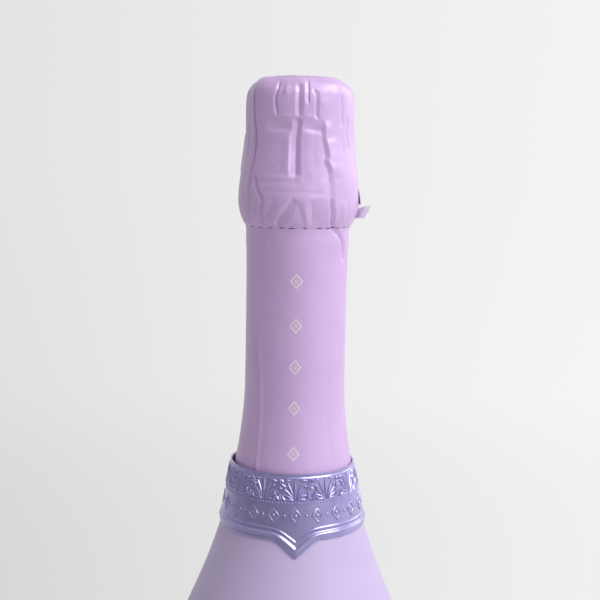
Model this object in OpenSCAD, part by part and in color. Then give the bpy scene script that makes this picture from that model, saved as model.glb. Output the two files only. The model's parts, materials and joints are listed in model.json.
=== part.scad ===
// Sealed 75 cl sparkling-wine bottle with its cork, wire cage, foil hood, tear strip,
// foil neck skirt and pressed neck collar. Millimetres, +Z up.
// The origin is the centre of the ring that the bottle stands on.
// The front, where the collar comes to a point, faces -Y. Azimuths turn from there towards +X.

/* [Glass body] */
// Height of the bare glass, from the table to the lip
glass_h = 300; // [290:1:310]
// Diameter of the straight body
body_d = 88.4; // [86:0.1:91]
// Thickness of the glass in body, shoulder and neck
wall = 4.2; // [3.8:0.1:4.6]
// Radius between body and base
heel_r = 9; // [7:0.5:11]
// Radius inside, between wall and floor
heel_in_r = 6; // [5:0.5:8]
// Depth of the punt in the base
punt_h = 36; // [25:1:40]
// Thickness of the floor over the punt
base_t = 6; // [5:0.5:8]
// Width of the ring that the bottle stands on
bearing_w = 4; // [3:0.5:6]
// Steepest lean of the shoulder from the axis, in degrees
shoulder_angle = 23.5; // [22:0.5:25]
// Radius of the round between shoulder and body
shoulder_r = 72; // [60:1:80]

/* [Glass neck] */
// Diameter of the neck under the foil
neck_d = 28; // [27:0.1:29]
// From the lip down to where the neck begins to widen
neck_len = 60; // [56:1:64]
// Radius of the hollow sweep from neck to shoulder
neck_sweep_r = 184; // [170:1:200]
// Diameter of the straight bore that grips the cork
bore_d = 17.7; // [17.2:0.1:18.2]
// Length of that bore below the lip
bore_len = 28; // [26:0.5:32]
// How far the locking ring stands out from the neck
ring_proud = 0.2; // [0.1:0.05:0.5]
// Height of the locking ring
ring_h = 4.5; // [3.5:0.1:5]
// From the lip down to the top of the locking ring
ring_drop = 9; // [8.5:0.1:10]
// Radius on the edges of the locking ring
ring_edge_r = 0.8; // [0.5:0.1:1]
// Depth of the groove under the locking ring
groove_t = 0.6; // [0.4:0.1:0.8]
// Height of that groove
groove_h = 6; // [5:0.5:7]
// How far the lip bead stands inside the neck's outer face
lip_inset = 0.7; // [0.5:0.1:1]
// Height of the lip bead
lip_h = 6.5; // [5.5:0.1:7]
// Radius over the top of the lip bead
lip_edge_r = 2; // [1:0.1:2.5]
// Radius at the mouth of the bore
mouth_edge_r = 0.8; // [0.5:0.1:1]
// Depth of the waist between lip bead and locking ring
waist_t = 0.7; // [0.4:0.1:1]

/* [Wine] */
// From the lip down to the surface of the wine
headspace = 85; // [80:1:95]
// Air film between wine and glass
film = 0.05; // [0.02:0.01:0.1]

/* [Cork] */
// Length of cork inside the bore
cork_in = 25; // [22:0.5:26]
// Thickness of each natural cork disc at the foot
disc_t = 5.5; // [4:0.5:6]
// Bevel round the foot of the lowest disc
disc_bevel = 0.6; // [0.3:0.1:1]
// Diameter of the head above the lip
cork_head_d = 26; // [25.6:0.1:26.4]
// Height of the head above the lip
cork_head_h = 16.75; // [15:0.25:19]
// Radius round the head, top and bottom
cork_edge_r = 1.6; // [1:0.1:1.6]
// Clearance of the cork in the bore, and of the plate on its head
cork_fit = 0.05; // [0.02:0.01:0.08]

/* [Cap plate] */
// Thickness of the tinplate
plate_t = 0.35; // [0.25:0.05:0.5]
// Height of the plate's turned-down rim
plate_h = 5.2; // [4:0.1:7]
// Outer radius where the rim turns down
plate_edge_r = 2; // [1.9:0.1:2]

/* [Wire cage] */
// Diameter of the frame wire
frame_wire_d = 0.8; // [0.7:0.05:0.9]
// Diameter of the belt wire
belt_wire_d = 1; // [0.9:0.05:1.1]
// Clearance between wires, and between wire and plate
wire_fit = 0.05; // [0.03:0.01:0.08]
// Number of legs
leg_count = 4; // [3:1:6]
// Azimuth of the first leg, in degrees
leg_turn = 40; // [35:1:45]
// Radius of the wire circle on top of the plate
crest_r = 10.2; // [9:0.1:11]
// Radius of the bend where a leg turns down over the plate
leg_bend_r = 3; // [2.9:0.05:3]
// Gap between the legs and the plate's rim
leg_gap = 0.25; // [0.15:0.05:0.4]
// How far above the lip the legs begin to spread
leg_knee_h = 3; // [2:0.5:4]
// Clearance of the slackened cage round the locking ring
ring_gap = 0.15; // [0.1:0.01:0.25]
// From the foot of the locking ring down to the belt
belt_drop = 2.2; // [1.8:0.1:2.4]
// Length of the twist loop, from the belt to its tip
loop_len = 16; // [14:0.5:16]
// Width of the twist loop over its wire
loop_w = 9; // [7:0.5:9]
// Length of the twisted stem between belt and loop
stem_len = 4.5; // [3.5:0.5:5]
// Diameter of the twisted stem
stem_d = 1.8; // [1.6:0.1:2]
// Width of the eye that turns on the belt
eye_w = 1.6; // [1.2:0.1:2]
// Wall of that eye
eye_wall = 0.6; // [0.4:0.05:0.7]

/* [Foil hood and strip] */
// Thickness of the foil
foil_t = 0.3; // [0.2:0.05:0.4]
// Gap between hood and cage at the belt
hood_gap = 0.3; // [0.2:0.05:0.6]
// Gap between hood and cage round the cork's head
hood_head_gap = 0.15; // [0.1:0.05:0.3]
// Gap between the cage's crest and the top of the hood
hood_top_gap = 0.5; // [0.5:0.05:1.5]
// Radius of the hood's top edge
hood_edge_r = 4.9; // [4.7:0.1:5]
// Radius of the opening under the top disc
hood_open_r = 8; // [6:0.5:9]
// How far the hood reaches below the belt
hood_drop = 1.1; // [0.8:0.1:1.5]
// How far the hood draws in from the belt to its foot
hood_tuck = 0.15; // [0.05:0.05:0.2]
// Radius of the disc on top of the hood
top_disc_r = 11.2; // [10:0.1:12]
// Thickness of that disc
top_disc_t = 0.25; // [0.15:0.05:0.35]
// Glue under that disc
glue_t = 0.05; // [0.02:0.01:0.1]
// Height of the tear strip
strip_h = 6.1; // [5:0.1:7]
// How far the strip's foot stands out from the neck
strip_stand = 1.35; // [1:0.05:1.8]
// Width of the cut line on each side of the strip
tear_gap = 0.1; // [0.05:0.01:0.2]

/* [Pull tab] */
// Azimuth of the tab's fold, in degrees: the tab runs from there towards the front
tab_turn = 100; // [90:1:120]
// Length of the tab along its curve
tab_len = 6.5; // [5:0.5:8]
// Width of the tab
tab_w = 3.4; // [2.5:0.1:3.6]
// Thickness of the doubled foil in the tab
tab_t = 0.3; // [0.2:0.05:0.4]
// Radius of the tab's outward curve
tab_curve_r = 10; // [8:1:20]
// Radius of the rolled fold that the tab turns on
tab_fold_r = 0.35; // [0.25:0.05:0.4]
// Clearance between the fold and the strip
tab_fit = 0.08; // [0.05:0.01:0.15]
// How far the tab rises along its length, in degrees
tab_rise = 18; // [10:1:20]
// How far the fold sits above the middle of the strip
tab_lift = 0.5; // [0:0.1:0.6]

/* [Foil skirt] */
// Clearance between the skirt and the glass
skirt_fit = 0.1; // [0.05:0.01:0.15]
// Length over which the skirt narrows below the strip
skirt_flare_len = 4.7; // [3.5:0.1:6]
// How far the skirt runs down behind the collar
skirt_tuck = 5.6; // [3:0.1:8]

/* [Neck collar] */
// Thickness of the pressed metal foil
collar_t = 0.4; // [0.2:0.05:0.5]
// Height of the collar without its point
collar_h = 18.6; // [16:0.1:20]
// From the lip down to the collar's lower edge
collar_drop = 112; // [110:1:114]
// Gap between the collar's top edge and the skirt
collar_stand = 0.31; // [0.2:0.01:0.5]
// Clearance between the collar's lower edge and the glass
collar_fit = 0.05; // [0.03:0.01:0.08]
// Length of the point at the front
point_h = 4.8; // [3:0.1:6]
// Width of the point where it leaves the lower edge
point_w = 13; // [10:0.5:15]
// Azimuth of that point, in degrees: the collar sits a little turned
point_turn = 3; // [0:1:5]
// Width of the open seam at the back
seam_w = 0.8; // [0.5:0.1:1.2]

/* [Hidden] */
$fn = 96;
arc_steps = 10;
curve_steps = 24;
overrun = 1;

glass_colour = "#C9B7E2";
wine_colour = "#E6D58A";
cork_colour = "#C69A66";
disc_colour = "#D9B27C";
plate_colour = "#B9A6CE";
wire_colour = "#B8B8BC";
foil_colour = "#C3A6D6";
collar_colour = "#857CB0";

// Glass: radii and heights from the driving sizes
body_r = body_d / 2;
neck_r = neck_d / 2;
bore_r = bore_d / 2;
lip_z = glass_h;
neck_foot_z = lip_z - neck_len;
bore_foot_z = lip_z - bore_len;
sweep_foot_z = neck_foot_z - neck_sweep_r * sin(shoulder_angle);
sweep_foot_r = neck_r + neck_sweep_r * (1 - cos(shoulder_angle));
shoulder_in = shoulder_r * (1 - cos(shoulder_angle));
cone_len = (body_r - shoulder_in - sweep_foot_r) / tan(shoulder_angle);
barrel_top_z = sweep_foot_z - cone_len - shoulder_r * sin(shoulder_angle);
bearing_r = body_r - heel_r - bearing_w;
floor_r = body_r - wall - heel_in_r;
ring_r = neck_r + ring_proud;
ring_top_z = lip_z - ring_drop;
ring_foot_z = ring_top_z - ring_h;
groove_r = neck_r - groove_t;
lip_r = neck_r - lip_inset;
lip_foot_z = lip_z - lip_h;
waist_r = lip_r - waist_t;

// Cork and plate
cork_r = bore_r - cork_fit;
cork_foot_z = lip_z - cork_in;
cork_seat_z = lip_z + cork_fit;
cork_head_r = cork_head_d / 2;
cork_top_z = cork_seat_z + cork_head_h;
plate_r = cork_head_r + cork_fit + plate_t;
plate_top_z = cork_top_z + cork_fit + plate_t;

// Cage: a leg is two wires twisted together, so its radius is one wire
leg_r = frame_wire_d;
leg_top_z = plate_top_z + wire_fit + leg_r;
leg_head_r = plate_r + leg_gap + leg_r;
leg_knee_z = lip_z + leg_knee_h;
eye_hole_r = belt_wire_d / 2 + wire_fit;
eyelet_r = eye_hole_r + frame_wire_d / 2;
eyelet_out_r = eye_hole_r + frame_wire_d;
belt_r = ring_r + ring_gap + eyelet_out_r;
belt_z = ring_foot_z - belt_drop;
leg_foot_z = belt_z + eyelet_r;
leg_spread = belt_r - leg_head_r;
least_spread = 0.01;
leg_sway_r = (pow(leg_spread, 2) + pow(leg_knee_z - leg_foot_z, 2)) / (4 * max(abs(leg_spread), least_spread));
leg_sway_angle = asin((leg_knee_z - leg_foot_z) / (2 * leg_sway_r));
loop_tip_len = loop_len - belt_wire_d / 2;
loop_bow_r = (loop_w - belt_wire_d) / 2;
loop_lean = atan2(leg_spread, loop_tip_len);

// Hood, strip and skirt
hood_head_r = leg_head_r + leg_r + hood_head_gap + foil_t;
hood_belt_r = belt_r + eyelet_out_r + hood_gap + foil_t;
hood_top_z = leg_top_z + leg_r + hood_top_gap + foil_t;
hood_foot_r = hood_belt_r - hood_tuck;
hood_foot_z = belt_z - hood_drop;
hood_flare_top_z = leg_knee_z + leg_knee_h / 2;
strip_top_z = hood_foot_z - tear_gap;
strip_foot_z = strip_top_z - strip_h;
strip_foot_r = neck_r + strip_stand;
strip_angle = atan2(hood_foot_r - strip_foot_r, strip_h);
skirt_top_z = strip_foot_z - tear_gap;
skirt_flare = strip_stand - foil_t - skirt_fit;

// Collar
collar_foot_z = lip_z - collar_drop;
collar_top_z = collar_foot_z + collar_h;
point_tip_z = collar_foot_z - point_h;
skirt_foot_z = collar_top_z - skirt_tuck;
// Half outline of the point: share of its half width, share of its length
point_shares = [[1, 0], [0.88, 0.06], [0.7, 0.25], [0, 1]];

// Points of an arc in the (radius, height) plane
function arc(centre, r, from, to, steps = arc_steps) =
    [for (i = [0:steps]) let (a = from + (to - from) * i / steps) centre + r * [cos(a), sin(a)]];

// Smooth rise from 0 to 1
function ease(s) = let (t = min(1, max(0, s))) t * t * (3 - 2 * t);

// Outer radius of the glass at a height in the neck or its sweep
function neck_at(z) = neck_r + neck_sweep_r - sqrt(pow(neck_sweep_r, 2) - pow(max(0, neck_foot_z - z), 2));

// Outer radius of the skirt at a height
function skirt_at(z) = neck_at(z) + skirt_fit + foil_t + skirt_flare * exp((z - skirt_top_z) / skirt_flare_len);

// A domed floor or punt, from its rim to the axis
function dome(rim_r, foot_z, height) =
    [for (i = [0:curve_steps]) let (s = 1 - i / curve_steps) [rim_r * s, foot_z + height * pow(cos(90 * s), 2)]];

function reversed(points) = [for (i = [len(points) - 1:-1:0]) points[i]];

// A closed outline between a skin's outer points and the same points moved inwards
function skin(points, t) = concat(points, reversed([for (p = points) p - [t, 0]]));

// Inside of the glass from the axis up to the lip, moved inwards by a gap
function glass_inside(gap) =
    concat(
        reversed(dome(floor_r, base_t + gap, punt_h)),
        arc([floor_r, base_t + heel_in_r], heel_in_r - gap, -90, 0),
        arc([body_r - shoulder_r, barrel_top_z], shoulder_r - wall - gap, 0, shoulder_angle),
        arc([neck_r + neck_sweep_r, neck_foot_z], neck_sweep_r + wall + gap, 180 + shoulder_angle, 180),
        [[bore_r - gap, bore_foot_z]]
    );

module revolve(points) {
    rotate_extrude() polygon(points);
}

// A piece of wire bent in the (radius, height) plane
module bent_wire(bend_r, wire_r, from, to) {
    rotate([90, 0, 0])
        rotate([0, 0, min(from, to)])
            rotate_extrude(angle = abs(to - from))
                translate([bend_r, 0]) circle(wire_r);
}

module round_wire(ring_r, wire_r) {
    rotate_extrude() translate([ring_r, 0]) circle(wire_r);
}

// Turns a child drawn towards +X to an azimuth
module facing(azimuth) {
    rotate([0, 0, azimuth - 90]) children();
}

module bottle_glass() {
    outside = concat(
        reversed(dome(bearing_r, 0, punt_h)),
        arc([body_r - heel_r, heel_r], heel_r, -90, 0),
        arc([body_r - shoulder_r, barrel_top_z], shoulder_r, 0, shoulder_angle),
        arc([neck_r + neck_sweep_r, neck_foot_z], neck_sweep_r, 180 + shoulder_angle, 180, curve_steps),
        [
            [neck_r, ring_foot_z - groove_h],
            [groove_r, ring_foot_z - groove_h / 2],
            [groove_r, ring_foot_z]
        ],
        arc([ring_r - ring_edge_r, ring_foot_z + ring_edge_r], ring_edge_r, -90, 0),
        arc([ring_r - ring_edge_r, ring_top_z - ring_edge_r], ring_edge_r, 0, 90),
        [[waist_r, ring_top_z], [waist_r, lip_foot_z], [lip_r, lip_foot_z + waist_t]],
        arc([lip_r - lip_edge_r, lip_z - lip_edge_r], lip_edge_r, 0, 90),
        arc([bore_r + mouth_edge_r, lip_z - mouth_edge_r], mouth_edge_r, 90, 180)
    );
    color(glass_colour) revolve(concat(outside, reversed(glass_inside(0))));
}

module wine() {
    color(wine_colour)
        intersection() {
            revolve(concat(glass_inside(film), [[0, bore_foot_z]]));
            cylinder(r = body_r, h = lip_z - headspace);
        }
}

module cork_body() {
    shank_foot_z = cork_foot_z + 2 * disc_t;
    shank = [[0, shank_foot_z], [cork_r, shank_foot_z], [cork_r, cork_seat_z]];
    head = concat(
        arc([cork_head_r - cork_edge_r, cork_seat_z + cork_edge_r], cork_edge_r, -90, 0),
        arc([cork_head_r - cork_edge_r, cork_top_z - cork_edge_r], cork_edge_r, 0, 90),
        [[0, cork_top_z]]
    );
    color(cork_colour) revolve(concat(shank, head));
}

module cork_disc_upper() {
    color(disc_colour)
        translate([0, 0, cork_foot_z + disc_t]) cylinder(r = cork_r, h = disc_t);
}

module cork_disc_lower() {
    color(disc_colour)
        revolve([
            [0, cork_foot_z],
            [cork_r - disc_bevel, cork_foot_z],
            [cork_r, cork_foot_z + disc_bevel],
            [cork_r, cork_foot_z + disc_t],
            [0, cork_foot_z + disc_t]
        ]);
}

module cap_plate() {
    edge = [plate_r - plate_edge_r, plate_top_z - plate_edge_r];
    outside = concat([[plate_r, plate_top_z - plate_h]], arc(edge, plate_edge_r, 0, 90), [[0, plate_top_z]]);
    inside = concat([[0, plate_top_z - plate_t]], arc(edge, plate_edge_r - plate_t, 90, 0), [[plate_r - plate_t, plate_top_z - plate_h]]);
    color(plate_colour) revolve(concat(outside, inside));
}

// One leg, drawn towards +X: crest, bend, straight, two sways outwards and its eyelet
module cage_leg() {
    bend_z = leg_top_z - leg_bend_r;
    side = leg_spread < 0 ? 1 : 0;
    half_rise = (leg_knee_z - leg_foot_z) / 2;
    translate([crest_r, 0, leg_top_z])
        rotate([0, 90, 0]) cylinder(r = leg_r, h = leg_head_r - leg_bend_r - crest_r);
    translate([leg_head_r - leg_bend_r, 0, bend_z]) bent_wire(leg_bend_r, leg_r, 0, 90);
    translate([leg_head_r, 0, leg_knee_z]) cylinder(r = leg_r, h = bend_z - leg_knee_z);
    translate([leg_head_r, 0, leg_knee_z])
        mirror([side, 0, 0])
            translate([leg_sway_r, 0, 0]) bent_wire(leg_sway_r, leg_r, 180, 180 + leg_sway_angle);
    translate([belt_r, 0, leg_foot_z])
        mirror([side, 0, 0])
            translate([-leg_sway_r, 0, 0]) bent_wire(leg_sway_r, leg_r, 0, leg_sway_angle);
    translate([belt_r, 0, belt_z]) bent_wire(eyelet_r, frame_wire_d / 2, 0, 360);
}

module cage_frame() {
    color(wire_colour)
        union() {
            translate([0, 0, plate_top_z + wire_fit + frame_wire_d / 2]) round_wire(crest_r, frame_wire_d / 2);
            for (i = [0:leg_count - 1]) facing(leg_turn + 360 * i / leg_count) cage_leg();
        }
}

module belt_wire() {
    color(wire_colour) translate([0, 0, belt_z]) round_wire(belt_r, belt_wire_d / 2);
}

// The twisted ends of the belt wire, at the back: an eye on the belt, a stem and a bow
module twist_loop() {
    wire_r = belt_wire_d / 2;
    bow_z = loop_tip_len - loop_bow_r;
    side_angle = asin(loop_bow_r / (bow_z - stem_len));
    side_len = (bow_z - stem_len) * cos(side_angle);
    color(wire_colour)
        translate([0, belt_r, belt_z])
            rotate([loop_lean, 0, 0])
                difference() {
                    union() {
                        rotate([0, 90, 0]) cylinder(r = eye_hole_r + eye_wall, h = eye_w, center = true);
                        cylinder(r = stem_d / 2, h = stem_len);
                        for (s = [-1, 1])
                            translate([0, 0, stem_len]) rotate([0, s * side_angle, 0]) cylinder(r = wire_r, h = side_len);
                        translate([0, 0, bow_z]) bent_wire(loop_bow_r, wire_r, -side_angle, 180 + side_angle);
                    }
                    rotate([0, 90, 0]) cylinder(r = eye_hole_r, h = stem_d + eye_w, center = true);
                }
}

module foil_hood() {
    edge = [hood_head_r - hood_edge_r, hood_top_z - hood_edge_r];
    flare = [
        for (i = [0:curve_steps])
            let (s = i / curve_steps)
                [hood_belt_r + (hood_head_r - hood_belt_r) * ease(s), belt_z + (hood_flare_top_z - belt_z) * s]
    ];
    outside = concat([[hood_foot_r, hood_foot_z]], flare, arc(edge, hood_edge_r, 0, 90), [[hood_open_r, hood_top_z]]);
    inside = concat(
        [[hood_open_r, hood_top_z - foil_t]],
        arc(edge, hood_edge_r - foil_t, 90, 0),
        reversed([for (p = flare) p - [foil_t, 0]]),
        [[hood_foot_r - foil_t, hood_foot_z]]
    );
    color(foil_colour) revolve(concat(outside, inside));
}

module hood_disc() {
    color(foil_colour) translate([0, 0, hood_top_z + glue_t]) cylinder(r = top_disc_r, h = top_disc_t);
}

module tear_strip() {
    color(foil_colour) revolve(skin([[strip_foot_r, strip_foot_z], [hood_foot_r, strip_top_z]], foil_t));
}

// Drawn on the strip's sloping face: X out from it, Y along it, Z up it. The fold lies along Z.
module pull_tab() {
    fold_x = tab_fold_r + tab_fit;
    turn = tab_len / tab_curve_r * 180 / PI;
    color(foil_colour)
        facing(tab_turn)
            translate([(strip_foot_r + hood_foot_r) / 2, 0, (strip_foot_z + strip_top_z) / 2])
                rotate([0, strip_angle, 0])
                    translate([fold_x, 0, tab_lift]) {
                        translate([0, 0, -tab_w / 2]) cylinder(r = tab_fold_r, h = tab_w);
                        mirror([0, 1, 0])
                            rotate([tab_rise, 0, 0])
                                translate([tab_curve_r, 0, -tab_w / 2])
                                    rotate([0, 0, 180 - turn])
                                        rotate_extrude(angle = turn)
                                            translate([tab_curve_r - tab_t / 2, 0]) square([tab_t, tab_w]);
                    }
}

module foil_skirt() {
    outside = [
        for (i = [0:curve_steps])
            let (z = skirt_foot_z + (skirt_top_z - skirt_foot_z) * sin(90 * i / curve_steps))
                [skirt_at(z), z]
    ];
    color(foil_colour) revolve(skin(outside, foil_t));
}

module neck_collar() {
    band = [
        [neck_at(collar_foot_z) + collar_fit + collar_t, collar_foot_z],
        [skirt_at(collar_top_z) + collar_stand + collar_t, collar_top_z]
    ];
    below = [
        for (i = [0:arc_steps])
            let (z = point_tip_z + point_h * i / arc_steps) [neck_at(z) + collar_fit + collar_t, z]
    ];
    half_point = [for (p = point_shares) [p[0] * point_w / 2, collar_foot_z - p[1] * point_h]];
    mirrored = reversed([for (p = half_point) [-p[0], p[1]]]);
    color(collar_colour)
        difference() {
            union() {
                revolve(skin(band, collar_t));
                intersection() {
                    revolve(skin(below, collar_t));
                    rotate([0, 0, point_turn])
                        rotate([90, 0, 0]) linear_extrude(height = body_r) polygon(concat(half_point, mirrored));
                }
            }
            translate([-seam_w / 2, 0, collar_foot_z - overrun]) cube([seam_w, body_r, collar_h + 2 * overrun]);
        }
}

bottle_glass();
wine();
cork_body();
cork_disc_upper();
cork_disc_lower();
cap_plate();
cage_frame();
belt_wire();
twist_loop();
foil_hood();
hood_disc();
tear_strip();
pull_tab();
foil_skirt();
neck_collar();
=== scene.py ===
# %% [markdown]
# # A sealed bottle of sparkling wine
#
# A sparkling-wine bottle is a thick lathe-turned glass whose neck is dressed in thin metal: a
# mushroom cork held by a wire cage, a crinkled foil hood over both, a strip that tears the hood
# off, a smooth foil skirt, and a pressed collar with a point at the front. This file models each
# of them as a separate piece, in metres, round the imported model, which is loaded first and never
# moved. Azimuths are degrees from the front (-Y) towards +X.

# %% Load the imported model
import json
import math
import random

import bpy
import numpy as np
from mathutils import Matrix, Vector


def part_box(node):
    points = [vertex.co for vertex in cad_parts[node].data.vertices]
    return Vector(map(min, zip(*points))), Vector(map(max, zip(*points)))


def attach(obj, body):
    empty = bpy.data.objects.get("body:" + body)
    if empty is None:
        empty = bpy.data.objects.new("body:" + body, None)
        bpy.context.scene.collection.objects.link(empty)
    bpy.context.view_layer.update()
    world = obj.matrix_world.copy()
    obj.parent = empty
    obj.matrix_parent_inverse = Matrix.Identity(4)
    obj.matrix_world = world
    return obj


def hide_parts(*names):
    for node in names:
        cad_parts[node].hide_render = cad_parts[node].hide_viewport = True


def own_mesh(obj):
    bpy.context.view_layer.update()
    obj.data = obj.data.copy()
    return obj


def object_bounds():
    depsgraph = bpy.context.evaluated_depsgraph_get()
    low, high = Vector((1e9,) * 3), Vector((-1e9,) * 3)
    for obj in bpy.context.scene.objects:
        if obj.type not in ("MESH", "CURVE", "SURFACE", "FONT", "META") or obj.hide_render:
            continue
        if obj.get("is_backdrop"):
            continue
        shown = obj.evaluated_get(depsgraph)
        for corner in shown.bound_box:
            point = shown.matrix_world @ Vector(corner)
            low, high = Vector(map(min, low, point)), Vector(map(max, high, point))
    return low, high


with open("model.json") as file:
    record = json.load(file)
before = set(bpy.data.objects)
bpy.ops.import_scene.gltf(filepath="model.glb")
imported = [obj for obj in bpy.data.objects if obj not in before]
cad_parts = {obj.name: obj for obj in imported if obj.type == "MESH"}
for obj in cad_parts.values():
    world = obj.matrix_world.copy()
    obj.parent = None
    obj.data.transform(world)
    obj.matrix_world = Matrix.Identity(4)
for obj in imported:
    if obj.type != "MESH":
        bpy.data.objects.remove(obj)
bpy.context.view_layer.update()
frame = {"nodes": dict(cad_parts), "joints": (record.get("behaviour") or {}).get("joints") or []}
MM = 0.001

# %% [markdown]
# ## The camera
#
# The picture was taken from about the height of the lip, a third of a metre away, with the camera
# tipped down a little and rolled slightly. The same place and the same lens give the same
# outline, so they are written here as real sizes.

# %% Camera
CAMERA_DISTANCE = 340 * MM
CAMERA_HEIGHT = 296.2 * MM
CAMERA_PITCH = math.radians(6.94)
CAMERA_YAW = math.radians(-0.19)
CAMERA_ROLL = math.radians(1.11)
LENS = 69
SENSOR = 36

bpy.ops.object.camera_add(location=(0, -CAMERA_DISTANCE, CAMERA_HEIGHT))
camera = bpy.context.object
turn = (
    Matrix.Rotation(CAMERA_YAW, 4, "Z")
    @ Matrix.Rotation(math.pi / 2 - CAMERA_PITCH, 4, "X")
    @ Matrix.Rotation(CAMERA_ROLL, 4, "Z")
)
camera.rotation_euler = turn.to_euler()
camera.data.lens = LENS
camera.data.sensor_width = SENSOR
camera.data.clip_start = 10 * MM
bpy.context.scene.camera = camera

# %% [markdown]
# ## Tools for the bench
#
# Most of a bottle is turned, so the main tool is a spin: one point is extruded along an outline of
# radius and height, and the outline is spun round the axis. What a lathe can't do, such as a fold
# pressed into foil, is a rule that moves the finished mesh's points. Before each new piece
# everything is deselected, because an operator acts on all that is selected.

# %% Select, spin and finish
def start_afresh():
    """Leaves edit mode and deselects everything."""
    if bpy.context.mode != "OBJECT":
        bpy.ops.object.mode_set(mode="OBJECT")
    bpy.ops.object.select_all(action="DESELECT")


def take(*pieces):
    """Selects only these pieces and makes the first one active."""
    start_afresh()
    for piece in pieces:
        piece.select_set(True)
    bpy.context.view_layer.objects.active = pieces[0]


def settle(piece, name):
    """Names a new piece and puts its place, turn and scale into its mesh."""
    piece.name = piece.data.name = name
    take(piece)
    bpy.ops.object.transform_apply(location=True, rotation=True, scale=True)
    return piece


def extrude_line(name, corners):
    """Draws one point out along a list of corners, and stays in edit mode."""
    start_afresh()
    bpy.ops.mesh.primitive_plane_add(size=MM, location=corners[0])
    piece = settle(bpy.context.object, name)
    bpy.ops.object.mode_set(mode="EDIT")
    bpy.ops.mesh.select_mode(type="VERT")
    bpy.ops.mesh.merge(type="CENTER")
    for here, there in zip(corners, corners[1:]):
        bpy.ops.mesh.extrude_region_move(TRANSFORM_OT_translate={"value": there - here})
    return piece


def spin_outline(name, outline, steps):
    """Extrudes a point along (radius, height) pairs in millimetres and spins it round the axis."""
    piece = extrude_line(name, [Vector((r * MM, 0, z * MM)) for r, z in outline])
    bpy.ops.mesh.select_all(action="SELECT")
    bpy.ops.mesh.spin(steps=steps, angle=math.tau, center=(0, 0, 0), axis=(0, 0, 1))
    bpy.ops.mesh.select_all(action="SELECT")
    bpy.ops.mesh.remove_doubles(threshold=MM / 500)
    bpy.ops.mesh.normals_make_consistent(inside=False)
    bpy.ops.object.mode_set(mode="OBJECT")
    middle = Vector(points_of(piece).mean(axis=0))
    outwards = sum(face.area * face.normal.dot(face.center - middle) for face in piece.data.polygons)
    if outwards < 0:
        piece.data.flip_normals()
    return piece


def add_modifier(piece, kind, **settings):
    """Adds a modifier with its settings and applies it."""
    take(piece)
    bpy.ops.object.modifier_add(type=kind)
    modifier = piece.modifiers[-1]
    for name, value in settings.items():
        setattr(modifier, name, value)
    bpy.ops.object.modifier_apply(modifier=modifier.name)


def smooth(piece, degrees=35):
    take(piece)
    bpy.ops.object.shade_smooth_by_angle(angle=math.radians(degrees))


def recalculate_normals(piece):
    """Makes all faces of a mesh point the same way, outwards where it is closed."""
    take(piece)
    bpy.ops.object.mode_set(mode="EDIT")
    bpy.ops.mesh.select_all(action="SELECT")
    bpy.ops.mesh.normals_make_consistent(inside=False)
    bpy.ops.object.mode_set(mode="OBJECT")


def face_outwards(piece):
    """Flips an open sheet whose middle face looks towards the bottle's axis."""
    middle = piece.data.polygons[len(piece.data.polygons) // 2]
    if middle.normal.x * middle.center.x + middle.normal.y * middle.center.y < 0:
        piece.data.flip_normals()


def tell(piece):
    print(piece.name, len(piece.data.polygons), "faces")


# %% Read and move the points of a mesh
def points_of(piece):
    flat = np.empty(len(piece.data.vertices) * 3)
    piece.data.vertices.foreach_get("co", flat)
    return flat.reshape(-1, 3)


def move_points(piece, points):
    piece.data.vertices.foreach_set("co", points.ravel())
    piece.data.update()


def push_out(piece, amounts):
    """Moves each point along its own normal."""
    normals = np.empty(len(piece.data.vertices) * 3)
    piece.data.vertices.foreach_get("normal", normals)
    move_points(piece, points_of(piece) + normals.reshape(-1, 3) * amounts[:, None])


def azimuth_of(points):
    return np.degrees(np.arctan2(points[:, 0], -points[:, 1]))


def radius_of(points):
    return np.hypot(points[:, 0], points[:, 1])


def ease(share):
    """Smooth rise from 0 to 1."""
    t = np.clip(share, 0, 1)
    return t * t * (3 - 2 * t)


# %% Outlines
def arc(centre, radius, start, end, steps):
    """Points of an arc in the (radius, height) plane, angles in degrees."""
    angles = [math.radians(start + (end - start) * i / steps) for i in range(steps + 1)]
    return [(centre[0] + radius * math.cos(a), centre[1] + radius * math.sin(a)) for a in angles]


def even(outline, spacing):
    """The same outline with a point at least every so many millimetres."""
    dense = [outline[0]]
    for (r0, z0), (r1, z1) in zip(outline, outline[1:]):
        count = max(1, round(math.hypot(r1 - r0, z1 - z0) / spacing))
        dense += [(r0 + (r1 - r0) * i / count, z0 + (z1 - z0) * i / count) for i in range(1, count + 1)]
    return dense


# %% [markdown]
# ## Materials
#
# A material starts from what the real one is. One function turns an sRGB hex colour into the
# linear colour that the shader wants, and one adds a node with its settings and links. Patterns
# read Object coordinates, which are metres here, so each scale is worked out from millimetres.

# %% Nodes and colours
def linear(colour):
    """A #RRGGBB colour as linear RGBA."""
    parts = [int(colour[i:i + 2], 16) / 255 for i in (1, 3, 5)]
    return [p / 12.92 if p <= 0.04045 else ((p + 0.055) / 1.055) ** 2.4 for p in parts] + [1]


def node(material, kind, settings={}, links={}, stops=(), into=None):
    """Adds a node: its settings, what feeds it, a ramp's colour stops, and the input that it feeds."""
    made = material.node_tree.nodes.new(kind)
    for name, value in settings.items():
        if isinstance(name, str) and hasattr(made, name):
            setattr(made, name, value)
        else:
            made.inputs[name].default_value = value
    for name, source in links.items():
        material.node_tree.links.new(source, made.inputs[name])
    if stops:
        elements = made.color_ramp.elements
        while len(elements) < len(stops):
            elements.new(0.5)
        for element, (position, colour) in zip(elements, stops):
            element.position = position
            element.color = linear(colour)
    if into is not None:
        material.node_tree.links.new(made.outputs[0], into)
    return made.outputs


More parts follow.
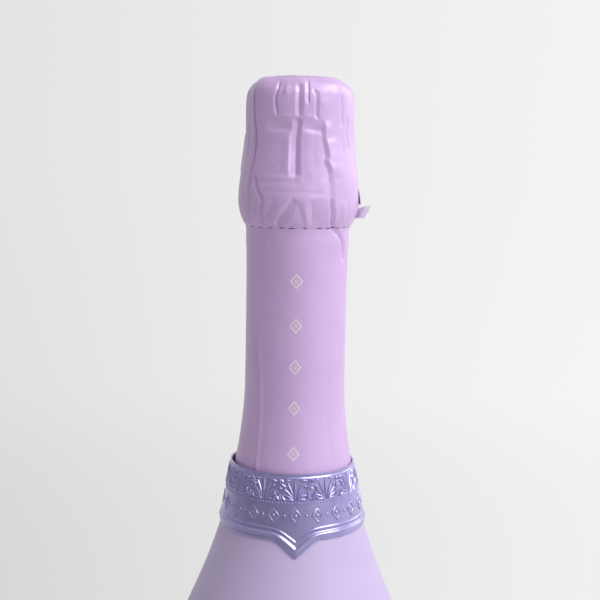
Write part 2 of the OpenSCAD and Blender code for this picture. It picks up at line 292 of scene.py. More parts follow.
def new_material(name, **settings):
    """A material with its Principled shader and Object coordinates."""
    material = bpy.data.materials.new(name)
    material.use_nodes = True
    shader = material.node_tree.nodes["Principled BSDF"]
    for key, value in settings.items():
        shader.inputs[key.replace("_", " ")].default_value = value
    place = node(material, "ShaderNodeTexCoord")["Object"]
    return material, shader.inputs, place


def spots(size_mm):
    """The scale of a noise whose spots are about so many millimetres across."""
    return 1 / (size_mm * MM)


def paint(piece, *materials):
    piece.data.materials.clear()
    for material in materials:
        piece.data.materials.append(material)


# %% [markdown]
# ## The glass
#
# The bottle is pressed and blown in an iron mould, 300 mm tall, with walls over 4 mm thick to hold
# six bars. Its outline is short runs and arcs: punt, bearing ring, heel, straight body, shoulder,
# the long hollow sweep to the neck, the groove and locking ring that the cage grips, and the lip
# bead. The inside is spun with it, so the walls have their true thickness.

# %% Outline of the glass
glass_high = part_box("bottle_glass")[1]
BODY_R = glass_high.x / MM
LIP_Z = glass_high.z / MM
WALL = 4.2
HEEL_R, HEEL_IN_R = 9, 6
PUNT_H, FLOOR_T, BEARING_W = 36, 6, 4
SHOULDER_ANGLE, SHOULDER_R = 23.5, 72
NECK_R, NECK_LEN, SWEEP_R = 14, 60, 184
BORE_R, BORE_LEN = 8.85, 28
RING_R, RING_TOP, RING_FOOT, RING_EDGE = 14.2, LIP_Z - 9, LIP_Z - 13.5, 0.8
GROOVE_R, GROOVE_H = 13.4, 6
LIP_R, LIP_FOOT, LIP_EDGE, MOUTH_EDGE, WAIST_T = 13.3, LIP_Z - 6.5, 2, 0.8, 0.7

neck_foot_z = LIP_Z - NECK_LEN
sweep_centre = (NECK_R + SWEEP_R, neck_foot_z)
lean = math.radians(SHOULDER_ANGLE)
sweep_foot = (NECK_R + SWEEP_R * (1 - math.cos(lean)), neck_foot_z - SWEEP_R * math.sin(lean))
shoulder_top_r = BODY_R - SHOULDER_R * (1 - math.cos(lean))
cone_len = (shoulder_top_r - sweep_foot[0]) / math.tan(lean)
barrel_top_z = sweep_foot[1] - cone_len - SHOULDER_R * math.sin(lean)
shoulder_centre = (BODY_R - SHOULDER_R, barrel_top_z)
bearing_r = BODY_R - HEEL_R - BEARING_W
floor_r = BODY_R - WALL - HEEL_IN_R


def dome(rim_r, foot_z, height, steps=28):
    """The punt, from the axis down to its rim."""
    shares = [i / steps for i in range(steps + 1)]
    return [(rim_r * s, foot_z + height * math.cos(math.pi / 2 * s) ** 2) for s in shares]


def neck_at(z):
    """Outer radius of the glass at a height in the neck or its sweep, in millimetres."""
    return sweep_centre[0] - np.sqrt(SWEEP_R ** 2 - np.maximum(0, neck_foot_z - z) ** 2)


outside = (
    dome(bearing_r, 0, PUNT_H)
    + arc((BODY_R - HEEL_R, HEEL_R), HEEL_R, -90, 0, 12)
    + arc(shoulder_centre, SHOULDER_R, 0, SHOULDER_ANGLE, 24)
    + arc(sweep_centre, SWEEP_R, 180 + SHOULDER_ANGLE, 180, 56)
    + [(NECK_R, RING_FOOT - GROOVE_H), (GROOVE_R, RING_FOOT - GROOVE_H / 2), (GROOVE_R, RING_FOOT)]
    + arc((RING_R - RING_EDGE, RING_FOOT + RING_EDGE), RING_EDGE, -90, 0, 5)
    + arc((RING_R - RING_EDGE, RING_TOP - RING_EDGE), RING_EDGE, 0, 90, 5)
    + [(LIP_R - WAIST_T, RING_TOP), (LIP_R - WAIST_T, LIP_FOOT), (LIP_R, LIP_FOOT + WAIST_T)]
    + arc((LIP_R - LIP_EDGE, LIP_Z - LIP_EDGE), LIP_EDGE, 0, 90, 8)
    + arc((BORE_R + MOUTH_EDGE, LIP_Z - MOUTH_EDGE), MOUTH_EDGE, 90, 180, 5)
)
inside = (
    [(BORE_R, LIP_Z - BORE_LEN)]
    + arc(sweep_centre, SWEEP_R + WALL, 180, 180 + SHOULDER_ANGLE, 28)
    + arc(shoulder_centre, SHOULDER_R - WALL, SHOULDER_ANGLE, 0, 12)
    + arc((floor_r, FLOOR_T + HEEL_IN_R), HEEL_IN_R, 0, -90, 8)
    + list(reversed(dome(floor_r, FLOOR_T, PUNT_H)))
)

# %% Spin the bottle
BOTTLE_STEPS = 256
bottle = spin_outline("bottle", outside + inside, BOTTLE_STEPS)
smooth(bottle, 40)
tell(bottle)

# %% [markdown]
# ### Lacquer and bare glass
#
# The outside is sprayed with a pale lavender lacquer, which is matt and very slightly pebbled. The
# spray is masked off at the locking ring and under the base, where the dark green glass stays
# bare, so the same mesh gets two materials, chosen by the place of each face.

# %% Lacquer and glass materials
def sprayed_lacquer():
    # Satin polyurethane lacquer, sprayed and baked: soft wide highlights, no mirror
    material, shader, place = new_material("sprayed_lacquer", Roughness=0.42, IOR=1.5)
    tone = node(material, "ShaderNodeTexNoise", {"Scale": spots(30), "Detail": 2}, {"Vector": place})
    node(
        material, "ShaderNodeValToRGB", {}, {"Fac": tone["Fac"]},
        [(0.3, "#BCACD3"), (0.7, "#C0B0D7")], into=shader["Base Color"])
    pebble = node(material, "ShaderNodeTexNoise", {"Scale": spots(0.9), "Detail": 2}, {"Vector": place})
    node(
        material, "ShaderNodeBump", {"Distance": 0.012 * MM}, {"Height": pebble["Fac"]},
        into=shader["Normal"])
    return material


def bottle_green_glass():
    # Soda-lime glass with iron and chrome, fire-polished: near black where it is thick
    material, shader, place = new_material(
        "bottle_green_glass", Roughness=0.04, IOR=1.52, Transmission_Weight=1.0)
    tone = node(material, "ShaderNodeTexNoise", {"Scale": spots(12), "Detail": 2}, {"Vector": place})
    node(
        material, "ShaderNodeValToRGB", {}, {"Fac": tone["Fac"]},
        [(0.3, "#3F5A34"), (0.7, "#4A663B")], into=shader["Base Color"])
    return material


LACQUER_TOP = RING_FOOT - GROOVE_H
BARE_FOOT_Z = 0.9
lacquer, green_glass = sprayed_lacquer(), bottle_green_glass()
paint(bottle, lacquer, green_glass)
for face in bottle.data.polygons:
    outwards = face.normal.x * face.center.x + face.normal.y * face.center.y > 0
    height = face.center.z / MM
    coated = outwards and BARE_FOOT_Z < height < LACQUER_TOP
    face.material_index = 0 if coated else 1
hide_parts("bottle_glass")
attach(bottle, "bottle")

# %% [markdown]
# ### Knurls under the base
#
# A ring of small half-moon ribs stands under a bottle, so that the hot glass touches the conveyor
# at few points and isn't scratched. One rib is modelled and copied round.

# %% Base knurls
KNURL_COUNT = 60
KNURL_LEN, KNURL_W, KNURL_H = 2.4, 0.8, 0.3


def ring_of(master, count):
    """Copies a piece round the axis, each copy with its own mesh, and joins them."""
    copies = [master]
    for i in range(1, count):
        take(master)
        bpy.ops.object.duplicate(linked=False)
        bpy.ops.transform.rotate(
            value=math.tau * i / count, orient_axis="Z", center_override=(0, 0, 0))
        copies.append(bpy.context.object)
    take(*copies)
    bpy.ops.object.join()
    return settle(bpy.context.object, master.name)


start_afresh()
bpy.ops.mesh.primitive_uv_sphere_add(
    segments=10, ring_count=6, radius=MM / 2, location=((bearing_r + BEARING_W / 2) * MM, 0, 0))
knurls = bpy.context.object
knurls.scale = (KNURL_LEN, KNURL_W, KNURL_H * 2)
settle(knurls, "base_knurls")
bpy.ops.object.mode_set(mode="EDIT")
bpy.ops.mesh.select_all(action="SELECT")
bpy.ops.mesh.bisect(plane_co=(0, 0, 0), plane_no=(0, 0, 1), clear_inner=True, use_fill=True)
bpy.ops.object.mode_set(mode="OBJECT")
knurls = ring_of(knurls, KNURL_COUNT)
smooth(knurls)
paint(knurls, green_glass)
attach(knurls, "bottle")
tell(knurls)

# %% [markdown]
# ## The wine
#
# The wine fills the bottle up to 85 mm under the lip. The lacquer hides it, and only the bore
# shows it once the cork is out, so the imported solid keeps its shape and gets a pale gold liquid.

# %% Wine material
def pale_wine():
    # Water and alcohol with a little gold: clear, with the refraction of water
    material, shader, place = new_material("pale_wine", Roughness=0.0, IOR=1.34, Transmission_Weight=1.0)
    haze = node(material, "ShaderNodeTexNoise", {"Scale": spots(8), "Detail": 1}, {"Vector": place})
    node(
        material, "ShaderNodeValToRGB", {}, {"Fac": haze["Fac"]},
        [(0.3, "#EBDD9C"), (0.7, "#F0E3A8")], into=shader["Base Color"])
    return material


paint(frame["nodes"]["wine"], pale_wine())

# %% [markdown]
# ## Foil folds
#
# The hood is a straight-sided foil cup, crimped by machine over the cork and the cage, so its
# spare width gathers in pleats. The light comes from the right, so the left wall of a valley
# shows bright and its right wall dark. A fold is therefore a V along a path with a wall of its own
# width on each side, pressed into the surface along its normals. Paths are points of azimuth and
# height, listed from the top down, or from left to right for a level fold.

# %% The fold rule
UNROLL_R = 16.6


def fold_depth(azimuth, height, path, depth, left, right, fade=1.6):
    """Depth of one fold at every point, in millimetres: positive presses in."""
    round_mm = math.radians(1) * UNROLL_R
    full_turn = 360 * round_mm
    best = np.full(len(azimuth), 1e9)
    share = np.zeros(len(azimuth))
    lengths = [math.hypot((a1 - a0) * round_mm, z1 - z0) for (a0, z0), (a1, z1) in zip(path, path[1:])]
    total, gone = sum(lengths), 0
    for (a0, z0), (a1, z1), length in zip(path, path[1:], lengths):
        across = ((azimuth - a0) * round_mm + full_turn / 2) % full_turn - full_turn / 2
        up = height - z0
        run, rise = (a1 - a0) * round_mm / length, (z1 - z0) / length
        along = np.clip(across * run + up * rise, 0, length)
        off_x, off_z = across - along * run, up - along * rise
        distance = np.hypot(off_x, off_z)
        width = np.where(-rise * off_x + run * off_z < 0, left, right)
        nearer = distance < best
        best = np.where(nearer, distance, best)
        reach = along + gone
        ends = ease(np.minimum(reach, total - reach) / fade + 0.15)
        share = np.where(nearer, np.clip(1 - distance / width, 0, 1) * ends, share)
        gone += length
    return depth * share


def all_folds(azimuth, height, folds):
    """Depth of many folds: where they cross, the deepest wins, so that they don't add up."""
    depths = [fold_depth(azimuth, height, *fold) for fold in folds]
    return np.maximum(np.max(depths, axis=0), 0) + np.minimum(np.min(depths, axis=0), 0)


# %% [markdown]
# ### Where the folds lie
#
# Between the cage's legs the foil is pulled flat, so the hood is a little square: it stands out
# over each leg and draws in between. The front has a tuck down the middle, a pleat beside the left
# leg, a long stepped pleat beside the right leg that runs on below the tear line, and short tucks
# round the top edge. The back, which no picture shows, gets pleats of the same kinds by chance,
# from a fixed seed.

# %% Folds of the hood, strip and skirt
FRONT_FOLDS = [
    # path, depth, left wall, right wall, and how softly it ends
    ([(-54, 316), (-54, 311), (-52, 306), (-49.5, 303), (-50, 300)], 1.3, 0.6, 0.45),
    ([(-49.5, 303), (-50, 297), (-52, 292)], 0.9, 0.5, 0.4),
    ([(-52, 292), (-54, 287), (-54, 282), (-57, 278)], 0.55, 0.7, 0.9),
    ([(-46, 292), (-43, 288.5), (-37, 286), (-35, 284)], 0.6, 1.1, 0.5),
    ([(-35, 284.5), (-38, 282), (-37, 280), (-40, 277.5)], 0.7, 1.1, 0.5),
    ([(-10.5, 303.5), (-10.5, 292)], -0.25, 2.4, 0.6),
    ([(-26, 320), (-25, 316.5), (-27, 313.5), (-26, 311), (-24, 308.5)], 0.5, 0.75, 0.6),
    ([(-15, 318.5), (-15, 313.5)], -0.25, 1.3, 1.3),
    ([(-1, 318.5), (-1, 312), (-1, 308)], 0.5, 1.2, 1.6),
    ([(-1, 308), (-2, 305), (-3.5, 302), (-3.5, 296), (-3, 291.2)], 0.65, 2.1, 1.6),
    ([(10, 320), (10, 316.5), (9.5, 314.5), (10, 311.5)], 0.4, 1.3, 0.3),
    ([(14, 316), (17.5, 314.5), (17.5, 308.5), (21, 307.3)], 0.35, 0.5, 1.2),
    ([(28, 307.5), (28, 305), (29, 301.5), (31, 299)], -0.5, 1.2, 3, 3),
    ([(29, 304), (29, 301.5), (31, 299), (32, 297), (30, 296), (33, 294), (34, 291)], -0.7, 1.2, 5, 4),
    ([(31, 291.5), (30.5, 288), (31.5, 284.5)], 0.4, 0.8, 1.5),
    ([(31.5, 286), (32.5, 283), (34, 281), (36, 278.5), (39, 276.8)], 0.85, 0.6, 1.3),
    ([(37, 277.6), (44, 276), (52, 274.8), (59, 272.8), (62, 270), (62, 267)], 0.8, 0.8, 1.4),
    ([(46, 314.5), (47, 311), (48, 305.5)], 0.4, 0.7, 1.1),
    ([(50, 319.2), (60, 318.6), (72, 317), (84, 313.5)], 0.6, 0.35, 0.35),
    ([(-24, 308.6), (-8, 308.4)], -0.1, 0.8, 0.4),
    ([(3, 308.6), (17, 308.4)], -0.1, 0.8, 0.4),
    ([(-38, 305.1), (-26, 305), (-5, 305)], 0.55, 1.3, 3.3, 4),
    ([(1, 305), (15, 304.8), (29, 304.5)], 0.45, 1.3, 3.0, 4),
    ([(-40, 291.4), (-16, 291.3), (5, 291.3)], -0.16, 1.2, 0.8),
    ([(-46, 289.8), (-20, 290.2), (-6, 290.4)], 0.12, 1.2, 0.6),
    ([(-38, 287.3), (0, 287.2), (26, 287)], 0.14, 1.4, 1.0),
    ([(-3, 285.6), (-10, 283), (-19, 279.5), (-24, 277.2)], 0.55, 1.0, 2.8),
    ([(-22, 286), (-26, 283), (-34, 279)], 0.25, 2.2, 1.2),
    ([(-2, 285), (3, 281), (8, 277.2)], 0.25, 2.4, 1.4),
    ([(12, 285.4), (14, 281), (14, 277.2)], 0.45, 1.8, 5.0, 3),
    ([(46, 285), (49, 282), (50, 279)], -0.25, 1.6, 1.4),
    ([(-62, 287), (-58, 283), (-60, 277.4)], 0.35, 1.6, 1.0),
    ([(-72, 285), (-70, 281), (-66, 277.4)], 0.35, 1.2, 1.5),
    ([(-64, 312), (-66, 304), (-64, 297)], 0.25, 1.5, 1.8),
    ([(-78, 316), (-76, 308), (-80, 300)], 0.3, 1.2, 1.8),
    ([(58, 309), (57, 303), (60, 299)], 0.3, 0.8, 0.9),
    ([(70, 304), (67, 298), (71, 292)], 0.25, 1.0, 1.6),
]
BACK_FOLD_SEED = 11
BACK_FOLD_COUNT = 26


def back_folds():
    """Pleats of the sides and back: mostly upright, a few short tucks at the top and the foot."""
    draw = random.Random(BACK_FOLD_SEED)
    folds = []
    for i in range(BACK_FOLD_COUNT):
        azimuth = 84 + 192 * (i + 0.2 + 0.6 * draw.random()) / BACK_FOLD_COUNT
        top, length = draw.choice([(320, 10), (318, 9), (306, 14), (304, 12), (288, 10.8), (286, 8.8)])
        count = 4
        path = [(azimuth + draw.uniform(-2.2, 2.2), top - length * k / (count - 1)) for k in range(count)]
        depth = draw.uniform(0.25, 0.65) * draw.choice([1, 1, 1, -0.6])
        folds.append((path, depth, draw.uniform(0.6, 1.8), draw.uniform(0.6, 1.8)))
    return folds


# How deep the top edge is tucked in at an azimuth, in millimetres: little over the cage's legs
TUCK_POINTS = [
    (-180, 1.2), (-160, 1.2), (-147, 0.2), (-134, 0.2), (-120, 0.7), (-95, 0.7), (-70, 0.7),
    (-57, 0.2), (-44, 0.2), (-30, 0.6), (-5, 0.6), (20, 0.5), (34, 0.2), (46, 0.2), (58, 0.5), (85, 0.7),
    (108, 0.9), (123, 0.2), (136, 0.2), (152, 1.2), (180, 1.2),
]
HOOD_FOLDS = FRONT_FOLDS + back_folds()
hood_low, hood_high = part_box("foil_hood")
HOOD_TOP_Z = hood_high.z / MM
HOOD_HEAD_R, HOOD_EDGE_R, HOOD_OPEN_R = 15.7, 4.9, 8
# How far the hood stands off its turned shape at an azimuth, in millimetres: most over the legs
DRAPE_POINTS = [
    (-180, -0.5), (-155, -0.2), (-140, 0.35), (-120, 0.1), (-95, 0.0), (-64, -0.1), (-52, 0.35),
    (-40, 0.0), (-22, -0.5), (-4, -0.75), (16, -0.5), (30, 0.0), (41, 0.5), (56, 0.4), (85, 0.3),
    (115, 0.1), (130, 0.35), (145, -0.1), (180, -0.5),
]
# The drape is full above the belt, a quarter of it is left at the strip, and none at the tear line.
DRAPE_STRIP_SHARE, DRAPE_FULL_FROM_Z, DRAPE_FULL_OVER = 0.25, 284, 8
DRAPE_FOOT_Z, DRAPE_FOOT_OVER = 277, 5
# Folds are shallow on the hood's flat top and full a little way below it.
TOP_FOLD_SHARE, TOP_FOLD_OVER = 0.15, 2.5
# The gathered top edge is pressed in between these angles on its rounding, in degrees.
TUCK_FROM, TUCK_OVER, TUCK_TO, TUCK_END = -32, 75, 88, 30


def hood_push(points):
    """How far the foil of hood and strip stands off its turned shape, in metres."""
    azimuth, height = azimuth_of(points), points[:, 2] / MM
    stops, amounts = zip(*DRAPE_POINTS)
    drape = np.interp(azimuth, stops, amounts)
    drape = drape * (
        DRAPE_STRIP_SHARE + (1 - DRAPE_STRIP_SHARE) * ease((height - DRAPE_FULL_FROM_Z) / DRAPE_FULL_OVER))
    drape = drape * ease((height - DRAPE_FOOT_Z) / DRAPE_FOOT_OVER)
    folds = all_folds(azimuth, height, HOOD_FOLDS)
    flat_top = TOP_FOLD_SHARE + (1 - TOP_FOLD_SHARE) * ease((HOOD_TOP_Z - height) / TOP_FOLD_OVER)
    stops, amounts = zip(*TUCK_POINTS)
    up_the_edge = np.degrees(np.arctan2(
        height - HOOD_TOP_Z + HOOD_EDGE_R, radius_of(points) / MM - HOOD_HEAD_R + HOOD_EDGE_R))
    round_off = ease((up_the_edge - TUCK_FROM) / TUCK_OVER) * ease((TUCK_TO - up_the_edge) / TUCK_END)
    return ((drape - folds) * flat_top - np.interp(azimuth, stops, amounts) * round_off) * MM


# %% Crumple
def crumple(piece, name, kind, spot_mm, depth_mm, **settings):
    """Displaces a mesh along its normals by one of Blender's own textures."""
    texture = bpy.data.textures.new(name, kind)
    texture.noise_scale = spot_mm * MM
    for key, value in settings.items():
        setattr(texture, key, value)
    add_modifier(
        piece, "DISPLACE", texture=texture, texture_coords="LOCAL", mid_level=0.5, strength=depth_mm * MM)


# %% [markdown]
# ## The hood
#
# The hood runs from the tear strip up over the cage's belt, which it bulges over, in to the cork's
# head, and over a round top edge to the opening that the disc closes. It is spun finely enough for
# the folds, a third of a millimetre a face, then pressed, crumpled and given its wall. The loop
# can't fold down inside a closed hood.

# %% Outline and spin of the hood
strip_low, strip_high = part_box("tear_strip")
STRIP_FOOT_R, STRIP_FOOT_Z = 15.35, strip_low.z / MM
TEAR_Z = (strip_high.z + hood_low.z) / 2 / MM
BELT_BULGE_R = hood_high.x / MM
BELT_Z = (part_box("belt_wire")[0].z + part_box("belt_wire")[1].z) / 2 / MM
HOOD_FLARE_TOP_Z = LIP_Z + 4.5
FOIL_T = 0.3
FOIL_COLUMNS = 352
FOIL_ROW = 0.34
FRONT_CROWDING = 0.42

flare = [
    (
        BELT_BULGE_R + (HOOD_HEAD_R - BELT_BULGE_R) * float(ease(s / 24)),
        BELT_Z + (HOOD_FLARE_TOP_Z - BELT_Z) * s / 24,
    )
    for s in range(25)
]
under_belt = [
    (
        STRIP_FOOT_R + (BELT_BULGE_R - STRIP_FOOT_R) * math.sin(math.pi / 2 * s / 16) ** 0.8,
        STRIP_FOOT_Z + (BELT_Z - STRIP_FOOT_Z) * s / 16,
    )
    for s in range(16)
]
cup_outline = even(
    under_belt
    + flare
    + arc((HOOD_HEAD_R - HOOD_EDGE_R, HOOD_TOP_Z - HOOD_EDGE_R), HOOD_EDGE_R, 0, 90, 20)
    + [(HOOD_OPEN_R, HOOD_TOP_Z)],
    FOIL_ROW,
)
hood = spin_outline("crinkled_hood", cup_outline, FOIL_COLUMNS)
points = points_of(hood)
turn = np.radians(azimuth_of(points))
turn -= FRONT_CROWDING * np.sin(turn)
reach = radius_of(points)
points[:, 0], points[:, 1] = reach * np.sin(turn), -reach * np.cos(turn)
move_points(hood, points)
strip_faces = [face.index for face in hood.data.polygons if face.center.z < TEAR_Z * MM]
push_out(hood, hood_push(points_of(hood)))
crumple(hood, "hood_crumple", "CLOUDS", 4.5, 0.2, noise_depth=2)

# %% Part the strip from the hood
bpy.ops.object.mode_set(mode="EDIT")
bpy.ops.mesh.select_mode(type="FACE")
bpy.ops.mesh.select_all(action="DESELECT")
bpy.ops.object.mode_set(mode="OBJECT")
for index in strip_faces:
    hood.data.polygons[index].select = True
bpy.ops.object.mode_set(mode="EDIT")
bpy.ops.mesh.separate(type="SELECTED")
bpy.ops.object.mode_set(mode="OBJECT")
strip = [piece for piece in bpy.context.selected_objects if piece is not hood][0]
strip.name = strip.data.name = "tear_strip_foil"
tell(hood)
tell(strip)


# %% Capsule foil material
def capsule_foil():
    # Aluminium and polythene laminate, lacquered satin: a soft sheen over fine hand-made wrinkles
    material, shader, place = new_material(
        "capsule_foil", Metallic=0.15, Roughness=0.5, Coat_Weight=0.7, Coat_Roughness=0.42)
    tone = node(material, "ShaderNodeTexNoise", {"Scale": spots(9), "Detail": 3}, {"Vector": place})
    node(
        material, "ShaderNodeValToRGB", {}, {"Fac": tone["Fac"]},
        [(0.3, "#C8A7D8"), (0.7, "#CCACDC")], into=shader["Base Color"])
    wrinkle = node(
        material, "ShaderNodeTexNoise", {"Scale": spots(2.2), "Detail": 3, "Roughness": 0.45},
        {"Vector": place})
    broad = node(
        material, "ShaderNodeBump", {"Distance": 0.05 * MM}, {"Height": wrinkle["Fac"]})
    grain = node(material, "ShaderNodeTexNoise", {"Scale": spots(0.35), "Detail": 2}, {"Vector": place})
    node(
        material, "ShaderNodeBump", {"Distance": 0.003 * MM},
        {"Height": grain["Fac"], "Normal": broad["Normal"]}, into=shader["Normal"])
    return material


def bare_foil_back():
    # The back of the laminate: rolled aluminium without lacquer, a soft silver white
    material, shader, place = new_material("bare_foil_back", Metallic=0.35, Roughness=0.4)
    grain = node(material, "ShaderNodeTexNoise", {"Scale": spots(0.8), "Detail": 3}, {"Vector": place})
    node(
        material, "ShaderNodeValToRGB", {}, {"Fac": grain["Fac"]},
        [(0.3, "#D9D5E0"), (0.7, "#E6E3EB")], into=shader["Base Color"])
    node(
        material, "ShaderNodeBump", {"Distance": 0.03 * MM}, {"Height": grain["Fac"]},
        into=shader["Normal"])
    return material


foil, foil_back = capsule_foil(), bare_foil_back()
paint(hood, foil, foil_back)
add_modifier(hood, "SOLIDIFY", thickness=FOIL_T * MM, offset=-1, material_offset=1)
smooth(hood, 60)
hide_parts("foil_hood")
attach(hood, "hood")
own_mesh(hood)

# %% [markdown]
# ## Tear strip and skirt
#
# Both are of the same foil. Short cuts part the strip from the skirt below it, and the bridges
# between the cuts hold until the tab is pulled. The long stepped pleat runs down over the strip
# and turns aside across the top of the skirt, so the skirt is pressed by the same folds.

# %% Strip
CUT_SEED, CUT_COUNT = 5, 27
CUT_W, CUT_H, CUT_IN, BRIDGE_H = 1.15, 0.07, 0.07, 0.05
cut_draw = random.Random(CUT_SEED)
CUTS = [
    (cut_draw.uniform(-2, 2) + i * 360 / CUT_COUNT - 178, cut_draw.uniform(0.6, 1.2))
    for i in range(CUT_COUNT)
]


def cut_share(azimuth):
    """1 in the middle of a cut in the tear line, 0 at a bridge."""
    share = np.zeros(len(azimuth))
    for middle, size in CUTS:
        off = np.abs((azimuth - middle + 180) % 360 - 180) * math.radians(1) * STRIP_FOOT_R
        share = np.maximum(share, ease((CUT_W * size / 2 - off) / 0.4 + 0.5))
    return share


def open_cuts(piece, edge_z, direction):
    """Draws an edge back and in at each cut, and out to its neighbour at each bridge."""
    points = points_of(piece)
    near = ease(1 - np.abs(points[:, 2] / MM - edge_z) / 0.5)
    cut = cut_share(azimuth_of(points))
    points[:, 2] += direction * near * (cut * CUT_H - (1 - cut) * BRIDGE_H) * MM
    inwards = 1 - near * cut * CUT_IN * MM / radius_of(points)
    points[:, :2] *= inwards[:, None]
    move_points(piece, points)


open_cuts(strip, STRIP_FOOT_Z, 1)
paint(strip, foil, foil_back)
add_modifier(strip, "SOLIDIFY", thickness=FOIL_T * MM, offset=-1, material_offset=1)
smooth(strip, 60)
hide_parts("tear_strip")
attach(strip, "bottle")

# %% Skirt
skirt_low, skirt_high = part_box("foil_skirt")
SKIRT_FOOT_Z, SKIRT_TOP_Z = skirt_low.z / MM, skirt_high.z / MM
SKIRT_FIT = 0.1
SKIRT_FLARE = STRIP_FOOT_R - NECK_R - FOIL_T - SKIRT_FIT
SKIRT_FLARE_LEN = 4.7
SKIRT_PUFF, PUFF_TOP_OVER, PUFF_FOOT_Z, PUFF_FOOT_OVER = 0.45, 5, 222, 16
SHARED_FOLDS_FROM_Z, SHARED_FOLDS_OVER = 262, 4
SKIRT_FOLDS = [
    ([(-46, 247), (-41, 232), (-39, 217), (-39, 210), (-36, 203)], -0.3, 0.8, 0.8, 4),
    ([(-49, 247), (-44, 232), (-42, 217), (-42, 210), (-39, 203)], 0.16, 1.8, 0.8, 4),
    ([(41, 246), (40, 232), (39, 221), (42, 212), (41, 203)], 0.10, 1.2, 1.0, 4),
    ([(54, 244), (56, 242), (57, 240)], 0.14, 1.2, 1.2, 4),
    ([(70, 218), (74, 209), (75, 203)], 0.25, 0.6, 0.7, 4),
    ([(-70, 268), (-72, 240), (-70, 215)], 0.05, 1.5, 2.0, 4),
    ([(110, 262), (113, 240), (109, 212)], 0.08, 1.0, 1.4, 4),
    ([(150, 272), (148, 255), (151, 244)], 0.10, 1.2, 1.2, 4),
    ([(-140, 266), (-143, 240), (-139, 206)], 0.08, 1.0, 1.4, 4),
    ([(-110, 270), (-108, 262)], 0.16, 1.0, 1.3, 4),
    ([(88, 274), (90, 266)], 0.16, 1.0, 1.0, 4),
    ([(-30, 275.8), (-28, 268)], 0.10, 1.4, 1.4, 4),
    ([(10, 275.8), (12, 271)], 0.08, 1.2, 1.6, 4),
]
SEAM_AZIMUTH, SEAM_STEP, SEAM_LAP = 180, 0.12, 6


def skirt_radius(z):
    return neck_at(z) + SKIRT_FIT + FOIL_T + SKIRT_FLARE * np.exp((z - SKIRT_TOP_Z) / SKIRT_FLARE_LEN)


def skirt_push(points):
    azimuth, height = azimuth_of(points), points[:, 2] / MM
    shared = all_folds(azimuth, height, HOOD_FOLDS)
    own = all_folds(azimuth, height, SKIRT_FOLDS)
    past_seam = (azimuth - SEAM_AZIMUTH) % 360
    lap = SEAM_STEP * np.clip(1 - past_seam / SEAM_LAP, 0, 1)
    puff = SKIRT_PUFF * ease((SKIRT_TOP_Z - height) / PUFF_TOP_OVER)
    puff = puff * ease((height - PUFF_FOOT_Z) / PUFF_FOOT_OVER)
    shared = shared * ease((height - SHARED_FOLDS_FROM_Z) / SHARED_FOLDS_OVER)
    return (puff + lap - own - shared) * MM


SKIRT_ROWS, SKIRT_COLUMNS = 170, 272
skirt_rows = np.linspace(SKIRT_FOOT_Z, SKIRT_TOP_Z, SKIRT_ROWS)
skirt = spin_outline("neck_skirt", [(float(skirt_radius(z)), z) for z in skirt_rows], SKIRT_COLUMNS)
push_out(skirt, skirt_push(points_of(skirt)))
crumple(skirt, "skirt_crumple", "CLOUDS", 9, 0.10, noise_depth=1)
open_cuts(skirt, SKIRT_TOP_Z, -1)
paint(skirt, foil, foil_back)
add_modifier(skirt, "SOLIDIFY", thickness=FOIL_T * MM, offset=-1, material_offset=1)
smooth(skirt, 60)
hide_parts("foil_skirt")
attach(skirt, "bottle")
tell(skirt)

# %% [markdown]
# ## The collar
#
# The collar is stamped from thicker foil with a shiny lacquer. Its lower edge runs down to a point
# through two soft shoulders, and two ridges follow that edge at a constant distance. It is easiest
# to think of it unrolled: a column for every azimuth and, in each column, rows measured from the
# lower edge or from the top edge, so that the ridges keep their distance all the way round.

# %% Outline of the collar
collar_low, collar_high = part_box("neck_collar")
COLLAR_TOP_Z, POINT_TIP_Z = collar_high.z / MM, collar_low.z / MM
POINT_H, POINT_W = 4.8, 13
POINT_KNEE, POINT_SOFT, POINT_SLOPE = 0.93, 0.08, 1.075
COLLAR_FOOT_Z = POINT_TIP_Z + POINT_H
COLLAR_T, COLLAR_FIT, COLLAR_STAND = 0.4, 0.05, 0.31
COLLAR_SEAM_W = 0.8
COLLAR_COLUMNS = 420
COLLAR_EDGE_R = float(neck_at(COLLAR_FOOT_Z)) + COLLAR_FIT + COLLAR_T
COLLAR_RIM_R = float(skirt_radius(COLLAR_TOP_Z)) + COLLAR_STAND + COLLAR_T


def point_drop(across, soft=POINT_SOFT):
    """How far the lower edge dips, a distance in millimetres along the collar from its point."""
    share = np.abs(across) / (POINT_W / 2)
    return POINT_H * POINT_SLOPE * soft * np.log1p(np.exp((POINT_KNEE - share) / soft))


def collar_radius(height):
    """Radius of the plain cone of the collar, and of the glass that its point lies on."""
    share = (height - COLLAR_FOOT_Z) / (COLLAR_TOP_Z - COLLAR_FOOT_Z)
    cone = COLLAR_EDGE_R + (COLLAR_RIM_R - COLLAR_EDGE_R) * share
    return np.where(share < 0, neck_at(height) + COLLAR_FIT + COLLAR_T, cone)


# %% Rows and ridges of the collar
# Distance from the edge, or from the rim, and the height of the relief there, in millimetres
EDGE_RELIEF = [
    (0, 0), (0.2, 0.14), (1.15, 0.24), (1.5, 0.5), (1.8, 0.64), (2.1, 0.46), (2.45, 0.04),
    (3.05, 0.04), (3.4, 0.36), (3.75, 0.06), (4.2, 0.06),
]
RIM_RELIEF = [(0, 0.3), (0.3, 0.3), (0.65, 0.04), (0.95, 0.04), (1.25, 0.34), (1.55, 0.06), (2.0, 0.06)]
EDGE_ZONE, RIM_ZONE, RELIEF_ROW, FIELD_ROWS = 4.2, 2.0, 0.15, 26
RIDGE_SOFTENING = 0.03

